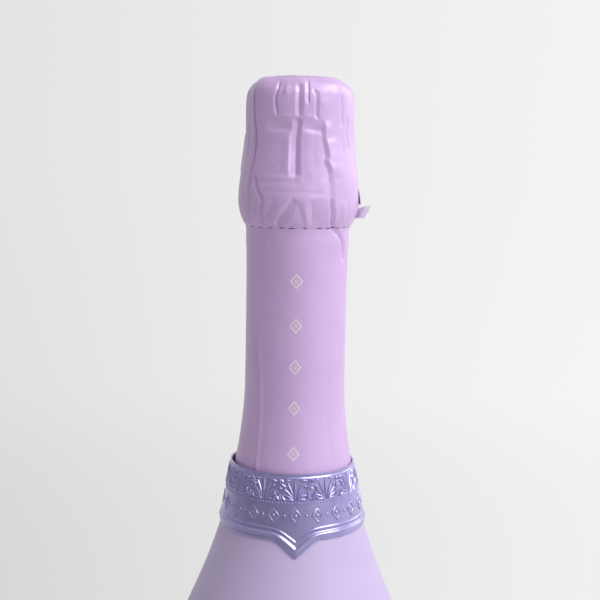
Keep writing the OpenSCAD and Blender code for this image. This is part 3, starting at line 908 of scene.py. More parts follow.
edge_rows = np.linspace(0, EDGE_ZONE, round(EDGE_ZONE / RELIEF_ROW))
rim_rows = np.linspace(RIM_ZONE, 0, round(RIM_ZONE / RELIEF_ROW))
row_count = len(edge_rows) + FIELD_ROWS + len(rim_rows)

start_afresh()
bpy.ops.mesh.primitive_grid_add(x_subdivisions=COLLAR_COLUMNS, y_subdivisions=row_count - 1, size=2)
collar = settle(bpy.context.object, "pressed_collar")
grid = points_of(collar)
half_turn = 180 - math.degrees(COLLAR_SEAM_W / 2 / COLLAR_RIM_R)
azimuth = grid[:, 0] * half_turn
row = np.round((grid[:, 1] + 1) / 2 * (row_count - 1)).astype(int)

across = np.radians(azimuth) * COLLAR_EDGE_R
from_edge = edge_rows[np.clip(row, 0, len(edge_rows) - 1)]
softer = POINT_SOFT + RIDGE_SOFTENING * from_edge
foot = COLLAR_FOOT_Z - point_drop(across, softer)
slope = (point_drop(np.abs(across) + 0.05, softer) - point_drop(np.abs(across), softer)) / 0.05
stretch = np.sqrt(1 + slope ** 2)
from_rim = rim_rows[np.clip(row - len(edge_rows) - FIELD_ROWS, 0, len(rim_rows) - 1)]
field_share = np.clip((row - len(edge_rows) + 1) / (FIELD_ROWS + 1), 0, 1)
field_foot = foot + from_edge * stretch
height = field_foot + (COLLAR_TOP_Z - from_rim - field_foot) * field_share
relief = np.where(
    field_share < 0.5,
    np.interp(from_edge, *zip(*EDGE_RELIEF)),
    np.interp(from_rim, *zip(*RIM_RELIEF)),
)
print("collar", COLLAR_COLUMNS, "columns,", row_count, "rows")

# %% [markdown]
# ### Laying it on the bottle
#
# The stamped ring is a little loose: it stands off the skirt at the left, where one can look down
# behind its rim, and hugs it at the right. So the ring is slid sideways a third of a millimetre at
# its top, and swells at the left, and the wall goes inwards from there.

# %% Roll the collar up
COLLAR_SLIDE, COLLAR_SWELL, COLLAR_TURN = 0.3, 0.15, 3


def on_collar(azimuth, height, relief):
    """Puts unrolled points onto the collar: azimuth in degrees, height and relief in millimetres."""
    up = np.clip((height - COLLAR_FOOT_Z) / (COLLAR_TOP_Z - COLLAR_FOOT_Z), 0, 1)
    swell = COLLAR_SWELL * ease(1 - np.abs(azimuth + 100) / 38) * ease(up)
    reach = (collar_radius(height) + relief + swell) * MM
    turn = np.radians(azimuth)
    slide = -COLLAR_SLIDE * MM * ease(up)
    return np.stack([reach * np.sin(turn) + slide, -reach * np.cos(turn), height * MM], axis=1)


move_points(collar, on_collar(azimuth + COLLAR_TURN, height, relief))
recalculate_normals(collar)
face_outwards(collar)
crumple(collar, "collar_dents", "CLOUDS", 6, 0.12, noise_depth=1)
add_modifier(collar, "SOLIDIFY", thickness=COLLAR_T * MM, offset=-1)
smooth(collar, 50)


# %% Collar material
def lacquered_collar_foil():
    # Stamped aluminium under a tinted clear lacquer: a soft metal shine, dulled a little by handling
    material, shader, place = new_material(
        "lacquered_collar_foil", Metallic=0.75, Coat_Weight=0.5, Coat_Roughness=0.25)
    tone = node(material, "ShaderNodeTexNoise", {"Scale": spots(5), "Detail": 3}, {"Vector": place})
    node(
        material, "ShaderNodeValToRGB", {}, {"Fac": tone["Fac"]},
        [(0.3, "#A29AD0"), (0.7, "#AEA7D8")], into=shader["Base Color"])
    wear = node(material, "ShaderNodeTexNoise", {"Scale": spots(1.6), "Detail": 4}, {"Vector": place})
    node(
        material, "ShaderNodeMapRange", {"To Min": 0.24, "To Max": 0.38}, {"Value": wear["Fac"]},
        into=shader["Roughness"])
    dents = node(material, "ShaderNodeTexNoise", {"Scale": spots(1.4), "Detail": 2}, {"Vector": place})
    node(
        material, "ShaderNodeBump", {"Distance": 0.05 * MM}, {"Height": dents["Fac"]},
        into=shader["Normal"])
    return material


collar_foil = lacquered_collar_foil()
paint(collar, collar_foil)
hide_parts("neck_collar")
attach(collar, "bottle")
tell(collar)

# %% [markdown]
# ### Relief on the collar
#
# Two bands of ornament are stamped between the ridges: a frieze of plain palmettes and scrolls, and
# below it a row of lozenges and beads. A leaf is modelled once, as a grid drawn to a point at both
# ends, with a raised middle; each copy is bent, turned and placed on the unrolled collar, and the
# finished motif is repeated round the ring and rolled up with the same rule as the ring itself.

# %% One leaf
def leaf(length, width, rise, bend=0.0, ends=0.05):
    """A raised leaf along +X from the origin, in millimetres, curled by a bend in degrees."""
    start_afresh()
    bpy.ops.mesh.primitive_grid_add(x_subdivisions=9, y_subdivisions=4, size=2)
    piece = settle(bpy.context.object, "leaf")
    grid = points_of(piece)
    along, side = (grid[:, 0] + 1) / 2, grid[:, 1]
    swell = np.maximum(np.sin(math.pi * along ** 0.8), ends)
    x, y = along * length, side * swell * width / 2
    z = rise * (1 - side ** 2) * np.sqrt(swell)
    if bend:
        curve_r = length / math.radians(bend)
        turn = x / curve_r
        x, y = (curve_r - y) * np.sin(turn), curve_r - (curve_r - y) * np.cos(turn)
    move_points(piece, np.stack([x, y, z], axis=1) * MM)
    return piece


def place(piece, x, y, angle):
    """Turns a flat piece about its origin and sets it down, in millimetres and degrees."""
    take(piece)
    piece.location = (x * MM, y * MM, 0)
    piece.rotation_euler = (0, 0, math.radians(angle))
    bpy.ops.object.transform_apply(location=True, rotation=True, scale=True)
    return piece


def join(pieces, name):
    take(*pieces)
    bpy.ops.object.join()
    return settle(bpy.context.object, name)


def mirrored_pair(piece):
    """The piece and its mirror image across the motif's upright middle."""
    take(piece)
    bpy.ops.object.duplicate(linked=False)
    twin = bpy.context.object
    points = points_of(twin)
    points[:, 0] *= -1
    move_points(twin, points)
    twin.data.flip_normals()
    return [piece, twin]


# %% The frieze motif
LEAF_RISE = 0.5
HALF_MOTIF = 4.93
# Angle, length and bend of the leaves beside the palmette's upright one
SIDE_LEAVES = [(74, 5.9, -10), (58, 5.2, -22), (42, 4.4, -36), (24, 3.5, -50)]

motif = [place(leaf(6.1, 1.15, LEAF_RISE), 0, -3.05, 90)]
for angle, length, bend in SIDE_LEAVES:
    motif += mirrored_pair(place(leaf(length, 0.9, LEAF_RISE, bend), 0.25, -3.0, angle))
motif += mirrored_pair(place(leaf(3.0, 0.75, LEAF_RISE, -70), 1.3, 2.5, 25))
motif += mirrored_pair(place(leaf(3.6, 0.7, LEAF_RISE, 140), 2.1, -2.9, 0))
motif += mirrored_pair(place(leaf(1.2, 0.9, LEAF_RISE), 2.7, 0.5, 60))
motif.append(place(leaf(8.2, 0.7, LEAF_RISE, 345), HALF_MOTIF, -1.0, 0))
motif.append(place(leaf(1.5, 1.2, LEAF_RISE), HALF_MOTIF - 0.75, 0.36, 0))
for angle in (50, 90, 130):
    motif.append(place(leaf(2.1, 0.8, LEAF_RISE), HALF_MOTIF, -3.1, angle))
for angle in (-135, -90, -45):
    motif.append(place(leaf(1.9, 0.8, LEAF_RISE), HALF_MOTIF, 3.1, angle))
palmette = join(motif, "collar_frieze")
tell(palmette)


# %% The lozenge and the bead
def lozenge_frame(width, height, line, rise):
    """An open lozenge with a raised, rounded line, lying flat."""
    start_afresh()
    bpy.ops.mesh.primitive_torus_add(
        major_segments=4, minor_segments=8, major_radius=0.5 * MM, minor_radius=0.1 * MM)
    piece = settle(bpy.context.object, "lozenge")
    points = points_of(piece)
    reach = np.abs(points[:, 0]) + np.abs(points[:, 1])
    corner = points[:, :2] / np.maximum(reach, 1e-9)[:, None]
    inwards = (reach - 0.5 * MM) / (0.1 * MM)
    size = 1 + inwards * line / min(width, height)
    x = corner[:, 0] * width / 2 * size
    y = corner[:, 1] * height / 2 * size
    z = points[:, 2] / (0.1 * MM) * rise
    move_points(piece, np.stack([x, y, z], axis=1) * MM)
    return piece


def bead(size, rise):
    start_afresh()
    bpy.ops.mesh.primitive_uv_sphere_add(segments=12, ring_count=6, radius=MM / 2)
    piece = settle(bpy.context.object, "bead")
    points = points_of(piece)
    points *= (size, size, rise * 2)
    move_points(piece, points)
    return piece


LOZENGE_RISE = 0.3
row_motif = [
    place(lozenge_frame(3.1, 3.8, 0.7, LOZENGE_RISE), 0, 0, 0),
    place(bead(1.0, LOZENGE_RISE), 0, 0, 0),
    place(bead(0.9, LOZENGE_RISE), 3.2, 0, 0),
]
lozenges = join(row_motif, "collar_lozenges")
pearl = place(bead(0.55, 0.26), 0, 0, 0)
pearl.name = pearl.data.name = "collar_pearls"


# %% Stamp the bands round the collar
def stamp_round(piece, count, middle_z, sink=0.04):
    """Repeats a flat motif round the collar at one height and rolls it up."""
    flat = points_of(piece) / MM
    reach = float(collar_radius(middle_z))
    copies = []
    for i in range(count):
        take(piece)
        bpy.ops.object.duplicate(linked=False)
        middle = COLLAR_TURN + i * 360 / count
        around = (middle + np.degrees(flat[:, 0] / reach) + 180) % 360 - 180
        lifted = EDGE_RELIEF[-1][1] + flat[:, 2] - sink
        move_points(bpy.context.object, on_collar(around, middle_z + flat[:, 1], lifted))
        copies.append(bpy.context.object)
    name = piece.name
    bpy.data.objects.remove(piece)
    ring = join(copies, name)
    smooth(ring, 60)
    paint(ring, collar_foil)
    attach(ring, "bottle")
    tell(ring)


FRIEZE_Z, FRIEZE_COUNT = 202.2, 13
ROW_Z, ROW_COUNT = 194.9, 20
PEARL_Z, PEARL_COUNT = 198.5, 130
stamp_round(palmette, FRIEZE_COUNT, FRIEZE_Z)
stamp_round(lozenges, ROW_COUNT, ROW_Z)
stamp_round(pearl, PEARL_COUNT, PEARL_Z)

# %% [markdown]
# ## Marks on the skirt
#
# Five small marks are printed in pale silver down the front of the skirt. They are plain lozenges
# here. One is modelled flat, bent round the neck, and pressed onto the skirt with Shrinkwrap, so
# that it follows the foil's own dents.

# %% Silver lozenges
MARK_HEIGHTS = [261.9, 249.0, 237.1, 225.2, 212.2]
MARK_W, MARK_H, MARK_LINE = 4.0, 4.6, 0.55
MARK_T = 0.05


def silver_print():
    # Hot-stamped silver: a thin bright metal film, slightly broken up by the foil's grain
    material, shader, place = new_material("silver_print", Metallic=0.2, Roughness=0.4)
    speck = node(material, "ShaderNodeTexNoise", {"Scale": spots(0.5), "Detail": 3}, {"Vector": place})
    node(
        material, "ShaderNodeValToRGB", {}, {"Fac": speck["Fac"]},
        [(0.35, "#DACBDE"), (0.65, "#E8DAE9")], into=shader["Base Color"])
    node(
        material, "ShaderNodeBump", {"Distance": 0.02 * MM}, {"Height": speck["Fac"]},
        into=shader["Normal"])
    return material


def flat_frame(width, height, line):
    """A flat open lozenge with a smaller one inside it."""
    made = []
    for size, weight in [(1.0, line), (0.34, line * 0.6)]:
        start_afresh()
        bpy.ops.mesh.primitive_circle_add(vertices=4, radius=0.5 * MM, fill_type="NGON")
        piece = settle(bpy.context.object, "frame")
        points = points_of(piece)
        points[:, 0] *= width * size
        points[:, 1] *= height * size
        move_points(piece, points)
        bpy.ops.object.mode_set(mode="EDIT")
        bpy.ops.mesh.select_all(action="SELECT")
        bpy.ops.mesh.inset(thickness=weight * MM)
        bpy.ops.mesh.delete(type="FACE")
        bpy.ops.mesh.select_all(action="SELECT")
        bpy.ops.mesh.subdivide(number_cuts=7)
        bpy.ops.object.mode_set(mode="OBJECT")
        made.append(piece)
    return join(made, "frame")


marks = []
for mark_z in MARK_HEIGHTS:
    mark = flat_frame(MARK_W, MARK_H, MARK_LINE)
    flat = points_of(mark)
    reach = float(skirt_radius(mark_z)) * MM + MM
    turn = flat[:, 0] / reach
    upright = np.stack([reach * np.sin(turn), -reach * np.cos(turn), mark_z * MM + flat[:, 1]], axis=1)
    move_points(mark, upright)
    marks.append(mark)
marks = join(marks, "skirt_marks")
add_modifier(
    marks, "SHRINKWRAP", target=skirt, wrap_method="NEAREST_SURFACEPOINT", wrap_mode="ABOVE_SURFACE",
    offset=MARK_T * MM)
recalculate_normals(marks)
add_modifier(marks, "SOLIDIFY", thickness=MARK_T * MM, offset=-1)
paint(marks, silver_print())
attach(marks, "bottle")
tell(marks)

# %% [markdown]
# ## Disc, tab and seam edge
#
# A stamped disc closes the hood's top, over the gathered edge. At the right, behind the front, the
# end of the tear strip stands free as a tab: it leaves the strip at a rolled fold, runs forward and
# away from the neck, and is easy to take hold of. Above it, the cut edge of the hood stands off a
# little too.

# %% Disc
disc_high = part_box("hood_disc")[1]
DISC_R, DISC_Z = disc_high.x / MM, disc_high.z / MM
DISC_T = 0.2
# Gathered pleats run round its edge, and soft rays fill the field between its two stamped rings.
EDGE_PLEATS, PLEAT_DEPTH, PLEAT_FROM_R = 14, 0.12, 9.6
FIELD_RAYS, RAY_DEPTH, RAY_FROM_R, RAY_TO_R = 12, 0.08, 3.6, 8.4
disc_outline = even(
    [
        (0, DISC_Z - 0.1), (2.2, DISC_Z - 0.1), (2.6, DISC_Z), (3.0, DISC_Z), (3.4, DISC_Z - 0.12),
        (8.6, DISC_Z - 0.12), (9.1, DISC_Z), (9.7, DISC_Z), (10.2, DISC_Z - 0.1), (DISC_R, DISC_Z - 0.22),
    ],
    0.25,
)
disc = spin_outline("hood_top_disc", disc_outline, 180)
if disc.data.polygons[-1].normal.z < 0:
    disc.data.flip_normals()
points = points_of(disc)
reach, azimuth = radius_of(points) / MM, azimuth_of(points)
turn = np.radians(azimuth)
pleats = np.abs(np.sin(turn * EDGE_PLEATS + 1.3 * np.sin(turn * 3)))
points[:, 2] -= PLEAT_DEPTH * MM * pleats * ease((reach - PLEAT_FROM_R) / 1.2)
field = ease(reach - RAY_FROM_R) * ease(RAY_TO_R - reach)
points[:, 2] -= RAY_DEPTH * MM * np.abs(np.cos(turn * FIELD_RAYS)) * field
move_points(disc, points)
crumple(disc, "disc_dents", "CLOUDS", 5, 0.1, noise_depth=1)
add_modifier(disc, "SOLIDIFY", thickness=DISC_T * MM, offset=-1)
smooth(disc, 50)
paint(disc, foil)
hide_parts("hood_disc")
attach(disc, "hood")
tell(disc)

# %% Pull tab
TAB_LEN, TAB_SLANT, TAB_ROOT_W, TAB_END_W, TAB_T = 4.8, 0.35, 3.4, 4.4, 0.2
TAB_CURVE_R, TAB_RISE, TAB_AZIMUTH = 5.5, math.radians(27), math.radians(100)
TAB_STAND, TAB_START = 0.5, 0.2
TIP_CURL, TIP_CURL_FROM, EDGE_CURL = 0.25, 0.55, 0.22
LEAN_OVER = 0.4

tab_joint = [joint for joint in frame["joints"] if joint["name"] == "tab_peel"][0]
fold_place, upwards = Vector(tab_joint["pos_m"]), Vector(tab_joint["axis"]).normalized()
outwards = Vector((math.sin(TAB_AZIMUTH), -math.cos(TAB_AZIMUTH), 0))
outwards = (outwards - upwards * outwards.dot(upwards)).normalized()
backwards = upwards.cross(outwards)

start_afresh()
bpy.ops.mesh.primitive_grid_add(x_subdivisions=36, y_subdivisions=18, size=2)
tab = settle(bpy.context.object, "pull_tab_foil")
grid = points_of(tab)
along, side = (grid[:, 0] + 1) / 2, grid[:, 1]
width = TAB_ROOT_W + (TAB_END_W - TAB_ROOT_W) * along ** 2
run, across = along * (TAB_LEN + TAB_SLANT * side) / TAB_CURVE_R, side * width / 2
curl = TIP_CURL * ease((along - TIP_CURL_FROM) / (1 - TIP_CURL_FROM)) ** 2
curl = curl + EDGE_CURL * along * np.sin(side * 2.2 + 0.7)
# The root lies along the fold's axis, so no corner of it turns into the strip.
lean = across * math.sin(TAB_RISE) * ease(along / LEAN_OVER)
local = np.stack(
    [
        TAB_STAND + TAB_CURVE_R * (1 - np.cos(run)) + curl,
        lean - TAB_START - TAB_CURVE_R * np.sin(run) * math.cos(TAB_RISE),
        TAB_CURVE_R * np.sin(run) * math.sin(TAB_RISE) + across * math.cos(TAB_RISE),
    ],
    axis=1,
)
axes = np.array([outwards, backwards, upwards])
move_points(tab, local @ axes * MM + np.array(fold_place))
face_outwards(tab)
crumple(tab, "tab_crumple", "CLOUDS", 2.0, 0.25, noise_depth=1)
paint(tab, foil, foil_back)
add_modifier(tab, "SOLIDIFY", thickness=TAB_T * MM, offset=-1, material_offset=1, material_offset_rim=1)
smooth(tab, 60)
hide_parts("pull_tab")
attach(tab, "tab")
tell(tab)

# %% Rolled root of the tab
TAB_ROLL_R, TAB_ROLL_W = 0.45, 3.3
start_afresh()
bpy.ops.mesh.primitive_cylinder_add(vertices=24, radius=TAB_ROLL_R * MM, depth=TAB_ROLL_W * MM)
roll = bpy.context.object
roll.rotation_euler = upwards.to_track_quat("Z", "Y").to_euler()
roll.location = fold_place
settle(roll, "pull_tab_roll")
add_modifier(roll, "BEVEL", width=0.08 * MM, segments=2)
smooth(roll)
paint(roll, foil)
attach(roll, "tab")
tell(roll)

# %% Standing edge of the hood above the tab
EDGE_FROM, EDGE_TO, EDGE_FOOT_Z, EDGE_TOP_Z = 101, 84, 283.6, 290
EDGE_SINK, EDGE_LEAST, EDGE_STAND, EDGE_T = 0.25, 0.4, 0.9, 0.18

start_afresh()
bpy.ops.mesh.primitive_grid_add(x_subdivisions=16, y_subdivisions=20, size=2)
seam_edge = settle(bpy.context.object, "hood_standing_edge")
grid = points_of(seam_edge)
share, rise = (grid[:, 0] + 1) / 2, (grid[:, 1] + 1) / 2
azimuth = EDGE_FROM + (EDGE_TO - EDGE_FROM) * share
height = EDGE_FOOT_Z + (EDGE_TOP_Z - EDGE_FOOT_Z) * rise
flared = ease((height - BELT_Z) / (HOOD_FLARE_TOP_Z - BELT_Z))
on_hood = BELT_BULGE_R + (HOOD_HEAD_R - BELT_BULGE_R) * flared
reach = on_hood - EDGE_SINK + (EDGE_LEAST + EDGE_STAND * (1 - rise) ** 1.2) * share ** 1.6
turn = np.radians(azimuth)
move_points(seam_edge, np.stack([reach * np.sin(turn), -reach * np.cos(turn), height], axis=1) * MM)
face_outwards(seam_edge)
crumple(seam_edge, "edge_crumple", "CLOUDS", 2.5, 0.2, noise_depth=1)
paint(seam_edge, foil, foil_back)
add_modifier(
    seam_edge, "SOLIDIFY", thickness=EDGE_T * MM, offset=-1, material_offset=1, material_offset_rim=1)
smooth(seam_edge, 60)
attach(seam_edge, "hood")
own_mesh(seam_edge)
tell(seam_edge)

# %% [markdown]
# ## The cork
#
# A sparkling-wine cork is pressed from cork granules and glue, with two discs of natural cork at
# the wine's end. Pushed halfway in and squeezed under the wire it takes its mushroom shape. The
# granules are a Voronoi pattern, both as dents and as colour, and the wire's legs leave a groove
# down each quarter of the head.

# %% Cork body
cork_low, cork_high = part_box("cork_body")
CORK_FOOT_Z, CORK_TOP_Z = cork_low.z / MM, cork_high.z / MM
CORK_HEAD_R, SHANK_R, CORK_EDGE_R = cork_high.x / MM, 8.8, 1.6
HEAD_FOOT_Z = LIP_Z + 0.05
LEG_AZIMUTHS = [40, 130, -140, -50]
GRANULE = 1.9
LEG_MARK_TOP_Z, LEG_MARK_FOOT_Z, LEG_MARK_DEPTH, LEG_MARK_W = 318, 301, 0.3, 1.3
SQUEEZE, SQUEEZE_MID_Z, SQUEEZE_HALF_H = 0.35, 308.4, 8.4
SHANK_SINK = 0.08

cork_outline = even(
    [(0, CORK_FOOT_Z), (SHANK_R, CORK_FOOT_Z), (SHANK_R, HEAD_FOOT_Z)]
    + arc((CORK_HEAD_R - CORK_EDGE_R, HEAD_FOOT_Z + CORK_EDGE_R), CORK_EDGE_R, -90, 0, 6)
    + arc((CORK_HEAD_R - CORK_EDGE_R, CORK_TOP_Z - CORK_EDGE_R), CORK_EDGE_R, 0, 90, 6)
    + [(0, CORK_TOP_Z)],
    0.42,
)
cork = spin_outline("mushroom_cork", cork_outline, 180)
points = points_of(cork)
azimuth, height = azimuth_of(points), points[:, 2] / MM
leg_folds = [
    ([(a, LEG_MARK_TOP_Z), (a, LEG_MARK_FOOT_Z)], LEG_MARK_DEPTH, LEG_MARK_W, LEG_MARK_W)
    for a in LEG_AZIMUTHS
]
leg_marks = all_folds(azimuth, height, leg_folds)
squeeze = SQUEEZE * np.cos((height - SQUEEZE_MID_Z) / SQUEEZE_HALF_H * math.pi / 2) ** 2 - SQUEEZE
on_head = (height > HEAD_FOOT_Z + 0.2) & (height < CORK_TOP_Z - 0.05)
push_out(cork, np.where(on_head, squeeze - leg_marks, -SHANK_SINK) * MM)
crumple(cork, "cork_granules", "VORONOI", GRANULE, 0.16)
smooth(cork, 50)


def pressed_cork():
    # Agglomerated cork: granules of one to three millimetres in glue, dry and matt
    material, shader, place = new_material("pressed_cork", Roughness=0.85, IOR=1.4)
    warp = node(material, "ShaderNodeTexNoise", {"Scale": spots(1.2), "Detail": 2}, {"Vector": place})
    bent = node(
        material, "ShaderNodeVectorMath", {"operation": "MULTIPLY_ADD", 1: [0.0006] * 3},
        {0: warp["Color"], 2: place})
    cells = node(material, "ShaderNodeTexVoronoi", {"Scale": spots(GRANULE)}, {"Vector": bent["Vector"]})
    node(
        material, "ShaderNodeValToRGB", {}, {"Fac": cells["Color"]},
        [(0.1, "#8F6238"), (0.35, "#B98A57"), (0.6, "#CDA06C"), (0.9, "#DDB683")], into=shader["Base Color"])
    broad = node(
        material, "ShaderNodeBump", {"Distance": 0.12 * MM}, {"Height": cells["Distance"]})
    pores = node(material, "ShaderNodeTexNoise", {"Scale": spots(0.3), "Detail": 3}, {"Vector": place})
    node(
        material, "ShaderNodeBump", {"Distance": 0.04 * MM},
        {"Height": pores["Fac"], "Normal": broad["Normal"]}, into=shader["Normal"])
    return material


def natural_cork():
    # Punched from the bark: even and pale, with dark lenticels running through it
    material, shader, place = new_material("natural_cork", Roughness=0.8, IOR=1.4)
    squash_x = node(material, "ShaderNodeMapping", {"Scale": [0.25, 1, 1]}, {"Vector": place})
    pits = node(
        material, "ShaderNodeTexNoise", {"Scale": spots(0.7), "Detail": 4, "Roughness": 0.65},
        {"Vector": squash_x["Vector"]})
    node(
        material, "ShaderNodeValToRGB", {}, {"Fac": pits["Fac"]},
        [(0.3, "#6E4524"), (0.4, "#BE8F5B"), (0.6, "#D2A878"), (0.8, "#DDB88A")], into=shader["Base Color"])
    node(
        material, "ShaderNodeBump", {"Distance": 0.08 * MM}, {"Height": pits["Fac"]},
        into=shader["Normal"])
    return material


paint(cork, pressed_cork())
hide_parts("cork_body")
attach(cork, "cork")
tell(cork)

# %% Natural discs
DISC_CHAMFER, BORE_GAP = 0.35, 0.05
solid_cork = natural_cork()
for node_name, name in [("cork_disc_upper", "cork_disc_inner"), ("cork_disc_lower", "cork_disc_wine_end")]:
    low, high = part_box(node_name)
    foot, top, edge = low.z / MM, high.z / MM, high.x / MM
    cork_disc = spin_outline(
        name,
        even(
            [
                (0, foot), (edge - DISC_CHAMFER, foot), (edge, foot + DISC_CHAMFER),
                (edge, top - DISC_CHAMFER / 3), (edge - DISC_CHAMFER / 3, top), (0, top),
            ],
            0.4,
        ),
        144,
    )
    push_out(cork_disc, np.full(len(cork_disc.data.vertices), -BORE_GAP * MM))
    crumple(cork_disc, name + "_pits", "CLOUDS", 1.2, 0.1, noise_depth=2)
    smooth(cork_disc, 40)
    paint(cork_disc, solid_cork)
    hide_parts(node_name)
    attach(cork_disc, "cork")
    tell(cork_disc)

# %% [markdown]
# ## Cap plate and cage
#
# Under the wire lies a tinplate cap, pressed with rings and a plain sunburst, so that the wire
# doesn't cut into the cork. The cage is one wire bent double four times and twisted into four
# legs; a second wire, the belt, runs through their eyelets under the locking ring and is twisted
# up into the loop that one unwinds. Each route is extruded point by point, turned into a curve,
# given its thickness, and made a mesh again.

# %% Cap plate
plate_low, plate_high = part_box("cap_plate")
PLATE_R, PLATE_FOOT_Z, PLATE_TOP_Z = plate_high.x / MM, plate_low.z / MM, plate_high.z / MM
PLATE_T, PLATE_EDGE_R = 0.35, 2.0
SUN_RAYS, SUN_DEPTH, SUN_FROM_R, SUN_TO_R, SUN_SOFT = 16, 0.22, 3.0, 7.3, 0.5
plate_outline = even(
    [
        (0, PLATE_TOP_Z), (1.7, PLATE_TOP_Z), (2.0, PLATE_TOP_Z - 0.25), (2.6, PLATE_TOP_Z - 0.25),
        (2.9, PLATE_TOP_Z - 0.05), (7.4, PLATE_TOP_Z - 0.05), (7.7, PLATE_TOP_Z - 0.3),
        (8.3, PLATE_TOP_Z - 0.3), (8.6, PLATE_TOP_Z),
    ]
    + arc((PLATE_R - PLATE_EDGE_R, PLATE_TOP_Z - PLATE_EDGE_R), PLATE_EDGE_R, 90, 0, 10)
    + [(PLATE_R - 0.15, PLATE_FOOT_Z + 1.0), (PLATE_R, PLATE_FOOT_Z + 0.6), (PLATE_R, PLATE_FOOT_Z + 0.15)],
    0.3,
)
plate = spin_outline("pressed_cap_plate", plate_outline, 192)
points = points_of(plate)
reach = radius_of(points) / MM
rays_at = 0.5 + 0.5 * np.cos(np.radians(azimuth_of(points)) * SUN_RAYS)
field = ease((reach - SUN_FROM_R) / SUN_SOFT) * ease((SUN_TO_R - reach) / SUN_SOFT)
points[:, 2] -= SUN_DEPTH * MM * rays_at * field
move_points(plate, points)


def printed_tinplate():
    # Tinned steel sheet, roller-coated and stoved: smooth gloss enamel
    material, shader, place = new_material("printed_tinplate", Roughness=0.22, IOR=1.5, Coat_Weight=0.4)
    tone = node(material, "ShaderNodeTexNoise", {"Scale": spots(6), "Detail": 2}, {"Vector": place})
    node(
        material, "ShaderNodeValToRGB", {}, {"Fac": tone["Fac"]},
        [(0.3, "#B7A3D8"), (0.7, "#BFACDD")], into=shader["Base Color"])
    scratch = node(material, "ShaderNodeTexNoise", {"Scale": spots(0.6), "Detail": 3}, {"Vector": place})
    node(
        material, "ShaderNodeBump", {"Distance": 0.01 * MM}, {"Height": scratch["Fac"]},
        into=shader["Normal"])
    return material


def bare_tinplate():
    # The inside of the plate: plain tin, a little dull
    material, shader, place = new_material("bare_tinplate", Metallic=1.0, Roughness=0.35)
    tone = node(material, "ShaderNodeTexNoise", {"Scale": spots(1.5), "Detail": 3}, {"Vector": place})
    node(
        material, "ShaderNodeValToRGB", {}, {"Fac": tone["Fac"]},
        [(0.3, "#B5B5B8"), (0.7, "#C9C9CC")], into=shader["Base Color"])
    node(
        material, "ShaderNodeBump", {"Distance": 0.02 * MM}, {"Height": tone["Fac"]},
        into=shader["Normal"])
    return material


paint(plate, printed_tinplate(), bare_tinplate())
add_modifier(plate, "SOLIDIFY", thickness=PLATE_T * MM, offset=-1, material_offset=1)
smooth(plate, 40)
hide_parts("cap_plate")
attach(plate, "cage")
tell(plate)


# %% Wire
def wire(name, route, thickness):
    """A round wire along a route of points in millimetres."""
    extrude_line(name, [Vector(point) * MM for point in route])
    bpy.ops.object.mode_set(mode="OBJECT")
    bpy.ops.object.convert(target="CURVE")
    piece = bpy.context.object
    piece.data.bevel_depth = thickness * MM / 2
    piece.data.bevel_resolution = 2
    piece.data.use_fill_caps = True
    bpy.ops.object.convert(target="MESH")
    return settle(bpy.context.object, name)


def twisted(route, offset, pitch, phase):
    """One strand of a twisted pair round a route of (radius, height) points, at azimuth 0."""
    strand, gone = [], 0
    for (r0, z0), (r1, z1) in zip(route, route[1:]):
        step = math.hypot(r1 - r0, z1 - z0)
        angle = math.tau * gone / pitch + phase
        out, up = (z1 - z0) / step, -(r1 - r0) / step
        reach = r0 - out * offset * math.cos(angle)
        strand.append((offset * math.sin(angle), -reach, z0 - up * offset * math.cos(angle)))
        gone += step
    return strand


def ring_wire(name, ring_r, wire_d, height, steps):
    """A closed ring of wire round the axis."""
    start_afresh()
    bpy.ops.mesh.primitive_torus_add(
        major_segments=steps, minor_segments=12, major_radius=ring_r * MM,
        minor_radius=wire_d * MM / 2, location=(0, 0, height * MM))
    return settle(bpy.context.object, name)


# %% Cage legs, crest ring and eyelets
CREST_R, STRAND_D, CREST_Z = 10.2, 0.8, PLATE_TOP_Z + 0.45
LEG_R, LEG_TOP_Z, LEG_BEND_R, LEG_KNEE_Z = 14.45, CREST_Z + 0.4, 3.5, 303
BELT_R, BELT_D, EYELET_R = 15.7, 1.0, 0.95
SWAY_ANGLE = 8.06
EYELET_TOP_Z = BELT_Z + EYELET_R
SWAY_R = (LEG_KNEE_Z - EYELET_TOP_Z) / 2 / math.sin(math.radians(SWAY_ANGLE))
TWIST_PITCH = 5.2

leg_route = even(
    [(CREST_R - 0.3, LEG_TOP_Z)]
    + arc((LEG_R - LEG_BEND_R, LEG_TOP_Z - LEG_BEND_R), LEG_BEND_R, 90, 0, 10)
    + arc((LEG_R + SWAY_R, LEG_KNEE_Z), SWAY_R, 180, 180 + SWAY_ANGLE, 12)
    + arc((BELT_R - SWAY_R, EYELET_TOP_Z), SWAY_R, SWAY_ANGLE, 0, 12),
    0.4,
)
parts = [
    wire("strand", twisted(leg_route, STRAND_D / 2, TWIST_PITCH, phase), STRAND_D)
    for phase in (0, math.pi)
]
start_afresh()
bpy.ops.mesh.primitive_torus_add(
    major_segments=28, minor_segments=12, major_radius=EYELET_R * MM, minor_radius=STRAND_D * MM / 2,
    location=(0, -BELT_R * MM, BELT_Z * MM), rotation=(0, math.pi / 2, 0))
parts.append(settle(bpy.context.object, "eyelet"))
leg = join(parts, "cage_legs")
take(leg)
# With no window this operator turns clockwise, so the first leg's azimuth is given with a minus.
bpy.ops.transform.rotate(
    value=-math.radians(LEG_AZIMUTHS[0]), orient_axis="Z", center_override=(0, 0, 0))
settle(leg, "cage_legs")
print("leg azimuth", azimuth_of(points_of(leg).mean(axis=0)[None, :]))
legs = ring_of(leg, len(LEG_AZIMUTHS))
cage = join([legs, ring_wire("crest", CREST_R, STRAND_D, CREST_Z, 96)], "wire_cage")
smooth(cage, 50)


